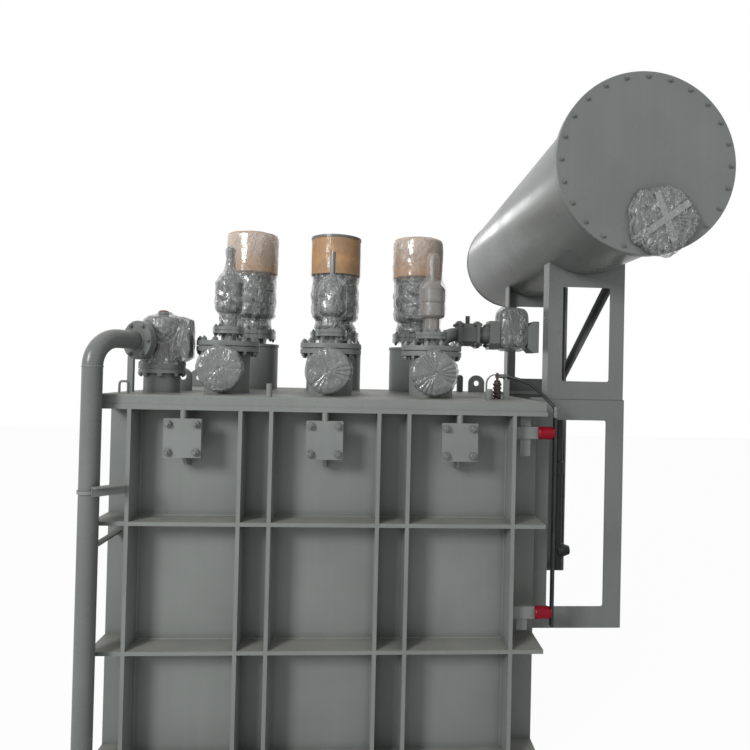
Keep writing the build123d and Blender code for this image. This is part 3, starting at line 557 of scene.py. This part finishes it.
class ReactorSizes(bpy.types.PropertyGroup):
    """Sizes of the fasteners, seams and film."""
    turret_flats: Length(name="Turret nut", description="Width of the turret nuts across flats",
                         default=21 * MM)
    turret_studs: IntProperty(name="Turret studs", description="Studs round each turret flange", default=12)
    bushing_flats: Length(name="Bushing nut", description="Width of the bushing nuts across flats",
                          default=14 * MM)
    pad_flats: Length(name="Pad nut", description="Width of the pad nuts across flats", default=24 * MM)
    end_flats: Length(name="Conservator nut", description="Width of the conservator's nuts", default=11 * MM)
    end_bolts: IntProperty(name="Conservator bolts", description="Bolts round the near end", default=24)
    weld: Length(name="Weld bead", description="Radius of the weld beads", default=4.5 * MM)
    fold: Length(name="Fold depth", description="Depth of the folds in tight film", default=11 * MM)
    loose_fold: Length(name="Loose fold depth", description="Depth of the folds in loose film",
                       default=16 * MM)
    fold_size: Length(name="Fold size", description="Distance from crease to crease in the film",
                      default=34 * MM)


class ReactorColours(bpy.types.PropertyGroup):
    """Colours of the finishes."""
    paint: Colour(name="Paint", description="Grey enamel", default=linear("#797D7B"))
    glaze: Colour(name="Glaze", description="Grey glaze of the bushings", default=linear("#6F7372"))
    board: Colour(name="Pressboard", description="Tan tubes on the bushings", default=linear("#BE9160"))
    brown: Colour(name="Brown glaze", description="Earthing bushing", default=linear("#2E1C16"))
    rubber: Colour(name="Rubber", description="Lead, bar cover and breather pipe", default=linear("#191B1C"))
    resin: Colour(name="Resin", description="Post insulators", default=linear("#88081E"))
    zinc: Colour(name="Zinc", description="Studs, nuts and washers", default=linear("#6B6E6D"))
    film: Colour(name="Film", description="Haze of the plastic film", default=linear("#9EA1A0"))
    fogged: Colour(name="Fogged film", description="Haze of the film on the tubes", default=linear("#CDBCAE"))


# finishes other than the tank's grey enamel, and the nodes that have them
NODES_OF_FINISH = {
    "Grey enamel, painted shade": ("conservator_shell", "conservator_cover", "conservator_far_end",
                              "near_upper_frame", "near_lower_frame", "far_upper_frame", "far_lower_frame",
                              "frame_brace", "down_pipe", "relief_valve", "oil_valve", "gas_relay",
                              "lifting_lugs"),
    "Grey glaze": ("small_bushings", "large_bushings"),
    "Pressboard": ("bushing_caps",),
    "Brown glaze": ("earthing_bushing",),
    "Black rubber": ("earthing_lead", "earthing_bar", "breather_pipe"),
    "Red resin": ("post_insulators",),
}


class REACTOR_OT_finishes(bpy.types.Operator):
    """Make the finishes and put one on every piece of the machine"""
    bl_idname = "reactor.finishes"
    bl_label = "Surface finishes"

    def execute(self, context):
        colours = context.scene.reactor_colours
        low, high = box("bushing_caps")
        heights = (low[2] - 100 * MM, high[2])
        painted_steel("Grey enamel", tuple(colours.paint), 0.40)
        # the tank's enamel darkened to 0.78 of its colour: painted shade on the conservator, frames and
        # fittings, with a glossier coat
        painted_steel("Grey enamel, painted shade", shade(colours.paint, 0.78), 0.27)
        glazed_porcelain("Grey glaze", tuple(colours.glaze), 0.2)
        pressed_board("Pressboard", tuple(colours.board))
        glazed_porcelain("Brown glaze", tuple(colours.brown), 0.12)
        black_rubber("Black rubber", tuple(colours.rubber), 0.5)
        cast_resin("Red resin", tuple(colours.resin))
        zinc_plate("Galvanised steel", tuple(colours.zinc))
        # many layers wound tight, with painted shade in the folds
        stretch_film("Stretch film", tuple(colours.film), 0.26, 0.42, 0.0, heights)
        # one smooth layer that hardly shows
        stretch_film("Clear film", tuple(colours.film), 0.06, 0.16, 0.0, heights)
        # one layer that turns white towards its top
        stretch_film("Fogged film", tuple(colours.fogged), 0.10, 0.10, 0.72, heights)
        # a few loose layers, even and pale
        stretch_film("Soft film", shade(colours.film, 0.85), 0.42, 0.18, 0.0, heights)
        # tape of the same film, nearly opaque
        stretch_film("Film tape", shade(colours.film, 0.6), 0.85, 0.06, 0.0, heights)
        finish = {node: name for name, nodes in NODES_OF_FINISH.items() for node in nodes}
        for name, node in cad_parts.items():
            node.data.materials.clear()
            node.data.materials.append(finish_of(finish.get(name, "Grey enamel")))
        return {"FINISHED"}


class REACTOR_OT_turret_studs(bpy.types.Operator):
    """Studs and nuts round the flange pair of each front turret"""
    bl_idname = "reactor.turret_studs"
    bl_label = "Turret studs"

    def execute(self, context):
        sizes = context.scene.reactor_sizes
        count, phase = sizes.turret_studs, pi / sizes.turret_studs
        top = box("front_turrets")[1][2]
        pair = 46 * MM
        radius = TURRET_FLANGE_R - 15 * MM
        nut = bolt(sizes.turret_flats, 20 * MM, 6 * MM)
        meshes = [nuts_round(nut, (x, y, level), radius, count, UP, way, phase)
                  for x, y, _ in three_centres("front_turrets", TURRET_FLANGE_R)
                  for level, way in ((top, 1), (top - pair, -1))]
        piece("turret_studs", joined(meshes), "Galvanised steel", smooth=False)
        return {"FINISHED"}


class REACTOR_OT_bushing_bolts(bpy.types.Operator):
    """Bolts on the flange pairs of the small and the large bushings"""
    bl_idname = "reactor.bushing_bolts"
    bl_label = "Bushing bolts"

    def execute(self, context):
        nut = bolt(context.scene.reactor_sizes.bushing_flats, 14 * MM, 4 * MM)
        inset = 12 * MM
        # node, flange radius, bolts, top and underside of the flange pair above the node's foot
        rows = (("small_bushings", SMALL_FLANGE_R, 6, 64 * MM, 34 * MM),
                ("large_bushings", LARGE_FLANGE_R, 8, 76 * MM, 28 * MM))
        meshes = [nuts_round(nut, (x, y, z + level), radius - inset, count, UP, way, pi / count)
                  for node, radius, count, top, under in rows
                  for x, y, z in three_centres(node, radius)
                  for level, way in ((top, 1), (under, -1))]
        piece("bushing_bolts", joined(meshes), "Grey enamel, painted shade", smooth=False)
        return {"FINISHED"}


class REACTOR_OT_pad_bolts(bpy.types.Operator):
    """Four studs with nuts near the corners of each pad under the cover flange"""
    bl_idname = "reactor.pad_bolts"
    bl_label = "Pad bolts"

    def execute(self, context):
        low, high = box("front_pads")
        half, middle, drop = 74 * MM, -2 * MM, 112 * MM
        across, up = 55 * MM, 56 * MM
        centre = box("cover_flange")[0][2] - drop
        spots = [(x + dx, low[1], centre + dz) for x in (low[0] + half, middle, high[0] - half)
                 for dx in (-across, across) for dz in (-up, up)]
        nut = bolt(context.scene.reactor_sizes.pad_flats, 24 * MM, 7 * MM)
        piece("pad_bolts", copies(nut, spots, FRONT), "Galvanised steel", smooth=False)
        return {"FINISHED"}


class REACTOR_OT_conservator_bolts(bpy.types.Operator):
    """Bolts round the conservator's near cover, painted over with it"""
    bl_idname = "reactor.conservator_bolts"
    bl_label = "Conservator bolts"

    def execute(self, context):
        sizes = context.scene.reactor_sizes
        x, _, z = middle_of("conservator_cover")
        y = box("conservator_cover")[0][1]
        nut = bolt(sizes.end_flats, 11 * MM, 3.5 * MM)
        mesh = nuts_round(nut, (x, y, z), COVER_R - 20 * MM, sizes.end_bolts, FRONT)
        piece("conservator_bolts", mesh, "Grey enamel, painted shade", smooth=False)
        return {"FINISHED"}


class REACTOR_OT_valve_bolts(bpy.types.Operator):
    """Bolts on the relief valve's neck and outlet, and on the flanges of the oil pipe"""
    bl_idname = "reactor.valve_bolts"
    bl_label = "Valve bolts"

    def execute(self, context):
        nut = bolt(20 * MM, 17 * MM, 6 * MM)
        small = bolt(16 * MM, 14 * MM, 4.5 * MM)
        x, y, _ = middle_of("relief_valve_neck")
        top = box("relief_valve_neck")[1][2]
        flange = 18 * MM
        meshes = [nuts_round(nut, (x, y, top + way * flange), VALVE_FLANGE_R - 11 * MM, 8, UP, way, 0.2)
                  for way in (-1, 1)]
        start, along = outlet_axis()
        meshes += [nuts_round(small, start + reach * along, OUTLET_R - 14 * MM, 6, along, way)
                   for reach, way in OUTLET_FACES]
        low, high = box("oil_valve")
        left, right = low[0], high[0]
        middle, radius = 70 * MM, 70 * MM
        y, z = (low[1] + high[1]) / 2, low[2] + middle
        # faces of the oil pipe's flange pairs, and the way each looks
        faces = ((left, -1), (left + 16 * MM, 1), (left + 90 * MM, -1), (left + 106 * MM, 1),
                 (right - 25 * MM, -1), (right + 25 * MM, 1))
        meshes += [nuts_round(small, (x, y, z), radius, 4, RIGHT, way, pi / 4) for x, way in faces]
        piece("valve_bolts", joined(meshes), "Galvanised steel", smooth=False)
        return {"FINISHED"}


class REACTOR_OT_weld_seams(bpy.types.Operator):
    """Weld beads along the ribs, rings and flange, and round what stands on the cover"""
    bl_idname = "reactor.weld_seams"
    bl_label = "Weld seams"

    def execute(self, context):
        size = context.scene.reactor_sizes.weld
        first_seed = 500
        straight = [bead(*run, seed) for seed, run in enumerate(self.upright(size) + self.level(size))]
        turned = [round_bead(*circle, 0.8 * size, first_seed + number)
                  for number, circle in enumerate(self.rounds())]
        piece("weld_seams", joined(straight + turned), "Grey enamel")
        return {"FINISHED"}

    def upright(self, size):
        """Runs up both sides of each rib, between the rings: start, end and bead radius."""
        low, high = box("tank_walls")
        rings_low, rings_high = box("stiffening_rings")
        levels = ((low[2], rings_low[2]), (rings_low[2] + RIB, rings_high[2] - RIB),
                  (rings_high[2], high[2]))
        ribs_low, ribs_high = box("front_ribs")
        side_low, side_high = box("left_ribs")
        xs = (ribs_low[0] + RIB / 2, *INNER_RIBS, ribs_high[0] - RIB / 2)
        ys = (side_low[1] + RIB / 2, *SIDE_RIBS, side_high[1] - RIB / 2)
        corners = [(x + s * RIB / 2, y) for x in xs for s in (-1, 1) for y in (low[1], high[1])]
        corners += [(x, y + s * RIB / 2) for y in ys for s in (-1, 1) for x in (low[0], high[0])]
        return [((x, y, start), (x, y, end), size) for x, y in corners for start, end in levels]

    def level(self, size):
        """Runs round the walls at the rings and the flange, and round the cover's lower edge."""
        low, high = box("tank_walls")
        rings_low, rings_high = box("stiffening_rings")
        cover_low, cover_high = box("tank_cover")
        edges = (rings_low[2], rings_low[2] + RIB, rings_high[2] - RIB, rings_high[2], high[2])
        around = [(low, high, z, size) for z in edges]
        around.append((cover_low, cover_high, cover_low[2], 0.6 * size))
        runs = []
        for low, high, z, thick in around:
            runs += [((low[0], y, z), (high[0], y, z), thick) for y in (low[1], high[1])]
            runs += [((x, low[1], z), (x, high[1], z), thick) for x in (low[0], high[0])]
        return runs

    def rounds(self):
        """Circles round turrets, necks, pipe ends and the conservator: centre, radius and axis."""
        top = box("tank_cover")[1][2]
        start, along = outlet_axis()
        pipe = box("down_pipe")[0] + PIPE_R
        neck_x, neck_y, _ = middle_of("relief_valve_neck")
        shell_x, _, shell_z = middle_of("conservator_shell")
        near, far = (corner[1] for corner in box("conservator_shell"))
        cover_joint, dish_joint, outlet_joint = 17 * MM, 1 * MM, 145 * MM
        turrets = (("front_turrets", TURRET_FLANGE_R, TURRET_R), ("rear_turrets", REAR_LID_R, REAR_TURRET_R))
        circles = [((x, y, top), radius, UP) for node, widest, radius in turrets
                   for x, y, _ in three_centres(node, widest)]
        circles += [((neck_x, neck_y, top), VALVE_NECK_R, UP),
                    ((pipe[0], pipe[1], start[2] - PIPE_BEND), PIPE_R - 1.5 * MM, UP),
                    (start + outlet_joint * along, PIPE_R, along),
                    ((shell_x, near + cover_joint, shell_z), SHELL_R, BACK),
                    ((shell_x, far - dish_joint, shell_z), SHELL_R, BACK)]
        return circles


class REACTOR_OT_bushing_wraps(bpy.types.Operator):
    """Stretch film wound round the small and the large bushings"""
    bl_idname = "reactor.bushing_wraps"
    bl_label = "Bushing film"

    def execute(self, context):
        sizes = context.scene.reactor_sizes
        foot = ((38, 68), (37, 96), (38, 122), (54, 138), (60, 150), (59, 205))
        over_pin = foot + ((60, 262), (50, 282), (36, 298), (27, 318), (20, 340), (17, 372), (16, 404),
                           (13, 424), (2, 426))
        below_pin = foot + ((59, 264), (50, 282), (30, 300), (25, 312))
        loose = foot + ((60, 262), (54, 284), (42, 300), (33, 322), (30, 352), (28, 396), (20, 424),
                        (2, 430))
        wraps = ((over_pin, 0.9, "Stretch film"), (below_pin, 0.9, "Stretch film"),
                 (loose, 0.6, "Fogged film"))
        for number, (profile, share, finish) in enumerate(wraps):
            mesh = wrap(in_mm(*profile), 150, 180, share * sizes.fold, sizes.fold_size, 11 + number)
            spot = three_centres("small_bushings", SMALL_FLANGE_R)[number]
            piece(f"small_bushing_film_{number + 1}", moved(mesh, spot), finish)
        profile = in_mm((108, 78), (106, 100), (98, 122), (100, 140), (122, 160), (123, 230), (124, 300),
                        (123, 378), (112, 398), (90, 404))
        for number, spot in enumerate(three_centres("large_bushings", LARGE_FLANGE_R)):
            mesh = wrap(profile, 150, 260, 1.4 * sizes.fold, 1.2 * sizes.fold_size, 21 + number)
            piece(f"large_bushing_film_{number + 1}", moved(mesh, spot), "Stretch film")
        return {"FINISHED"}


class REACTOR_OT_tube_hoods(bpy.types.Operator):
    """Film hoods on the tan tubes, fogged on the outer two, and the middle one's grey rim"""
    bl_idname = "reactor.tube_hoods"
    bl_label = "Tube hoods"

    def execute(self, context):
        sizes = context.scene.reactor_sizes
        low, high = box("bushing_caps")
        tall = high[2] - low[2]
        r = CAP_R + 2 * MM
        profile = ((r - 12 * MM, -26 * MM), (r + 1 * MM, -8 * MM), (r + 1 * MM, 0.5 * tall),
                   (r, tall - 8 * MM), (r - 12 * MM, tall + 3 * MM), (60 * MM, tall + 8 * MM),
                   (2 * MM, tall + 9 * MM))
        centres = three_centres("bushing_caps", CAP_R)
        hoods = (("Fogged film", 0.4), ("Clear film", 0.3), ("Fogged film", 0.6))
        for number, (finish, share) in enumerate(hoods):
            mesh = wrap(profile, 100, 220, share * sizes.fold, 1.5 * sizes.fold_size, 31 + number)
            piece(f"tube_hood_{number + 1}", moved(mesh, centres[number]), finish)
        rim = ((r - 2 * MM, tall - 13 * MM), (r + 2 * MM, tall - 11 * MM), (r + 2 * MM, tall + 1 * MM),
               (r - 4 * MM, tall + 3 * MM))
        mesh = moved(lathe(rim, 96), centres[1])
        piece("tube_rim", mesh, "Grey enamel, painted shade", angle=0.6)
        return {"FINISHED"}


class REACTOR_OT_handhole_wraps(bpy.types.Operator):
    """Film over the handhole covers, pleated over the rim and gathered behind it"""
    bl_idname = "reactor.handhole_wraps"
    bl_label = "Handhole film"

    def execute(self, context):
        sizes = context.scene.reactor_sizes
        front = box("handhole_covers")[0][1]
        z = middle_of("handhole_covers")[2]
        profile = in_mm((74, -36), (86, -33), (95, -26), (97, -14), (96, -2), (90, 5), (70, 8), (35, 10),
                        (2, 11))
        for number, (x, _, _) in enumerate(three_centres("handhole_covers", HANDHOLE_R)):
            depth, size = (0.6 + 0.1 * number) * sizes.fold, 2.4 * sizes.fold_size
            pleats, pleat = 7 + 5 * number, (2.5 + number) * MM
            mesh = wrap(profile, 100, 200, depth, size, 41 + number, None, pleats, pleat)
            mesh = swung(mesh, (x, front, z), FRONT)
            piece(f"handhole_film_{number + 1}", mesh, "Soft film")
        return {"FINISHED"}


class REACTOR_OT_relief_valve_wrap(bpy.types.Operator):
    """Film round the relief valve and its switch box, with the valve's red indicator above it"""
    bl_idname = "reactor.relief_valve_wrap"
    bl_label = "Relief valve film"

    def execute(self, context):
        sizes = context.scene.reactor_sizes
        x, y, _ = middle_of("relief_valve_neck")
        base, top = box("relief_valve_neck")[1][2], box("relief_valve")[1][2]
        profile = in_mm((90, 19), (86, 32), (84, 60), (84, 120), (84, 190), (81, 212), (66, 224), (34, 233),
                        (25, 238), (22, 248))
        mesh = wrap(profile, 130, 240, 0.7 * sizes.fold, 1.2 * sizes.fold_size, 51, self.section)
        piece("relief_valve_film", moved(mesh, (x, y, base)), "Stretch film")
        knob = lathe(in_mm((21, 0), (22, 3), (21, 20), (13, 24)), 32)
        piece("valve_indicator", moved(knob, (x, y, top - 18 * MM)), "Red resin", angle=0.7)
        return {"FINISHED"}

    def section(self, t, z):
        """Share by which the switch box widens the round body, blended in over a height at its foot.

        The outline is the seventh root of the body's radius and the box's reach, each to the seventh."""
        body, reach, half, foot = 84.0, 122, 43, 26 * MM
        side = np.minimum(reach / np.maximum(np.cos(t), 1e-3), half / np.maximum(np.abs(np.sin(t)), 1e-3))
        side = np.where(np.cos(t) > 0.02, side, 1.0)
        wide = (body ** 7 + side ** 7) ** (1 / 7) / body
        return 1 + (wide - 1) * np.clip((z - foot) / foot, 0, 1)


class REACTOR_OT_relay_wrap(bpy.types.Operator):
    """Film round the gas relay"""
    bl_idname = "reactor.relay_wrap"
    bl_label = "Gas relay film"

    def execute(self, context):
        sizes = context.scene.reactor_sizes
        low, high = box("gas_relay")
        low, high = low + in_mm(18, 4, -4), high + in_mm(3, -4, 4)
        mesh = rounded_block(low, high, 0.45, 0.9 * sizes.fold, 1.3 * sizes.fold_size, 61)
        piece("gas_relay_film", mesh, "Stretch film")
        return {"FINISHED"}


class REACTOR_OT_gauge_wrap(bpy.types.Operator):
    """Loose film over the oil gauge, held by two crossed strips of tape"""
    bl_idname = "reactor.gauge_wrap"
    bl_label = "Oil gauge film"

    def execute(self, context):
        sizes = context.scene.reactor_sizes
        x, _, z = middle_of("oil_gauge")
        spot = (x, box("oil_gauge")[0][1], z)
        profile = in_mm((119, -29), (120, -24), (114, -8), (104, 1), (80, 4), (40, 6), (2, 7))
        mesh = wrap(profile, 110, 260, 0.6 * sizes.loose_fold, sizes.fold_size, 71, self.outline, 22, 3 * MM)
        piece("oil_gauge_film", swung(mesh, spot, FRONT), "Stretch film")
        ends = (((-33, 90), (40, -104)), ((-104, -76), (104, 74)))
        strips = [self.strip(spot, *in_mm(*pair)) for pair in ends]
        piece("gauge_tape", joined(strips), "Film tape", angle=0.7)
        return {"FINISHED"}

    def outline(self, t, z):
        """The circle with a few slow bulges where the film was gathered by hand."""
        return 1 + 0.035 * np.sin(3 * t + 0.6) + 0.03 * np.sin(5 * t + 2.0) + 0.015 * np.sin(9 * t)

    def strip(self, spot, first, last):
        """Tape from point to point across the gauge: its distance from the face falls off at the rim."""
        s = np.linspace(0, 1, 40)[:, None]
        flat = first + s * (last - first)
        away = np.interp(np.hypot(*flat.T), in_mm(0, 80, 102, 118, 130), in_mm(15, 13, 10, -6, -22))
        away = away + 1.5 * MM * np.sin(31 * s[:, 0])
        along = np.array([last[0] - first[0], 0, last[1] - first[1]])
        side = np.cross(along / np.linalg.norm(along), BACK)
        path = np.stack([spot[0] + flat[:, 0], spot[1] - away, spot[2] + flat[:, 1]], -1)
        return ribbon(path, side, 24 * MM, 1 * MM)


class REACTOR_OT_lead_lugs(bpy.types.Operator):
    """Crimped cable lugs with their sleeves at both ends of the earthing lead"""
    bl_idname = "reactor.lead_lugs"
    bl_label = "Lead lugs"

    def execute(self, context):
        stud_y = middle_of("earthing_bushing")[1]
        stud_z = box("earthing_bushing")[1][2] - 15 * MM
        bar_x, bar_y, _ = middle_of("earthing_bar")
        barrel = lathe(in_mm((8.2, 0), (9.4, 1), (9.4, 26), (8.2, 30), (8.2, 44), (7.4, 46)), 24)
        ends = [swung(barrel, (box("earthing_lead")[0][0], stud_y, stud_z), RIGHT),
                swung(barrel, (bar_x, bar_y, box("earthing_bar")[1][2]), UP)]
        piece("lead_lugs", joined(ends), "Galvanised steel", angle=0.6)
        return {"FINISHED"}


# lamps: name, place and target in metres, width in metres, power in watts
LAMPS = (("key", (-4.3, -6.0, 4.4), (0.1, 0.0, 1.2), 2.0, 395),
         ("fill", (4.2, -4.4, 3.0), (0.3, 0.0, 1.2), 3.0, 12),
         ("back", (-0.1, 4.3, 3.6), (0.85, 0.0, 2.45), 0.4, 6))
FLOOR_REACH = 14.0
WHITE = linear("#FFFFFF")

# the camera, fitted to the photograph: metres, degrees, and millimetres for the lens
CAMERA_PLACE = (0.15975, -3.22171, 1.68816)
CAMERA_TURN = (90.700, -1.289, -3.528)
LENS = 30.31
SENSOR_WIDTH = 36.0
SHIFT_X, SHIFT_Y = -0.0405, -0.016


class REACTOR_OT_stage(bpy.types.Operator):
    """Pale floor, soft lamps, white surroundings and the camera"""
    bl_idname = "reactor.stage"
    bl_label = "Stage"

    def execute(self, context):
        scene = context.scene
        data = bpy.data.meshes.new("floor")
        r = FLOOR_REACH
        data.from_pydata([(-r, -r, 0), (r, -r, 0), (r, r, 0), (-r, r, 0)], [], [(0, 1, 2, 3)])
        floor = bpy.data.objects.new("floor", data)
        scene.collection.objects.link(floor)
        self.floor_finish()
        data.materials.append(finish_of("Pale floor"))
        self.surroundings(scene)
        for lamp in LAMPS:
            self.lamp(scene, *lamp)
        self.camera(scene)
        scene.view_settings.view_transform = "Standard"
        return {"FINISHED"}

    def floor_finish(self):
        """Pale painted floor that the camera sees nearly white, with the machine's shadow kept."""
        add, _ = material("Pale floor")
        diffuse = add("BsdfDiffuse", None, {"Color": linear("#DADAD8")})
        glow = add("Emission", None, {"Color": WHITE, "Strength": 1.0})
        seen = add("LightPath").outputs["Is Camera Ray"]
        share = add("MapRange", None, {"Value": seen, "To Max": 0.96})
        add("OutputMaterial", None, {"Surface": add("MixShader", None, {0: share, 1: diffuse, 2: glow})})

    def surroundings(self, scene):
        """White to the camera and in reflections, a plain soft grey as light."""
        scene.world = bpy.data.worlds.new("Studio")
        scene.world.use_nodes = True
        scene.world.node_tree.nodes.clear()
        add = partial(add_node, scene.world.node_tree)
        rays = add("LightPath").outputs
        seen = rays["Is Camera Ray"]
        for kind in ("Is Transmission Ray", "Is Glossy Ray"):
            seen = add("Math", {"operation": "MAXIMUM"}, {0: seen, 1: rays[kind]})
        strength = add("MapRange", None, {"Value": seen, "To Min": 0.5, "To Max": 1.0})
        light = add("Background", None, {"Color": WHITE, "Strength": strength})
        add("OutputWorld", None, {"Surface": light})

    def lamp(self, scene, name, place, target, size, power):
        """A square soft lamp aimed at a point."""
        data = bpy.data.lights.new(name, "AREA")
        data.shape = "SQUARE"
        data.size = size
        data.energy = power
        made = bpy.data.objects.new(name, data)
        scene.collection.objects.link(made)
        away = np.array(place) - np.array(target)
        made.matrix_world = Matrix.Translation(place) @ Matrix(bases(away[None])[0].T.tolist()).to_4x4()

    def camera(self, scene):
        """Camera where the photograph was taken, 1.7 m above the floor and level with the cover."""
        data = bpy.data.cameras.new("camera")
        data.sensor_width = SENSOR_WIDTH
        data.lens = LENS
        data.shift_x = SHIFT_X
        data.shift_y = SHIFT_Y
        made = bpy.data.objects.new("camera", data)
        scene.collection.objects.link(made)
        made.location = CAMERA_PLACE
        made.rotation_euler = np.radians(CAMERA_TURN)
        scene.camera = made


class REACTOR_PT_sidebar(bpy.types.Panel):
    """Lists the pieces in the order in which they are added"""
    bl_idname = "REACTOR_PT_sidebar"
    bl_label = "Oil-filled reactor"
    bl_space_type = "VIEW_3D"
    bl_region_type = "UI"
    bl_category = "Reactor"

    def draw(self, context):
        for operator in OPERATORS:
            self.layout.operator(operator.bl_idname)
        for group in (context.scene.reactor_sizes, context.scene.reactor_colours):
            for name in group.__annotations__:
                self.layout.prop(group, name)


OPERATORS = (REACTOR_OT_finishes, REACTOR_OT_turret_studs, REACTOR_OT_bushing_bolts, REACTOR_OT_pad_bolts,
             REACTOR_OT_conservator_bolts, REACTOR_OT_valve_bolts, REACTOR_OT_weld_seams,
             REACTOR_OT_bushing_wraps, REACTOR_OT_tube_hoods, REACTOR_OT_handhole_wraps,
             REACTOR_OT_relief_valve_wrap, REACTOR_OT_relay_wrap, REACTOR_OT_gauge_wrap,
             REACTOR_OT_lead_lugs, REACTOR_OT_stage)
CLASSES = (ReactorSizes, ReactorColours) + OPERATORS + (REACTOR_PT_sidebar,)


def register():
    """Register the classes and hang the sizes and colours on the scene."""
    for each in CLASSES:
        bpy.utils.register_class(each)
    bpy.types.Scene.reactor_sizes = PointerProperty(type=ReactorSizes)
    bpy.types.Scene.reactor_colours = PointerProperty(type=ReactorColours)


def unregister():
    """Take the sizes, colours and classes away again."""
    del bpy.types.Scene.reactor_sizes
    del bpy.types.Scene.reactor_colours
    for each in reversed(CLASSES):
        bpy.utils.unregister_class(each)


def main():
    """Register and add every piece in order."""
    register()
    for operator in OPERATORS:
        group, name = operator.bl_idname.split(".")
        getattr(getattr(bpy.ops, group), name)()


if __name__ == "__main__":
    main()
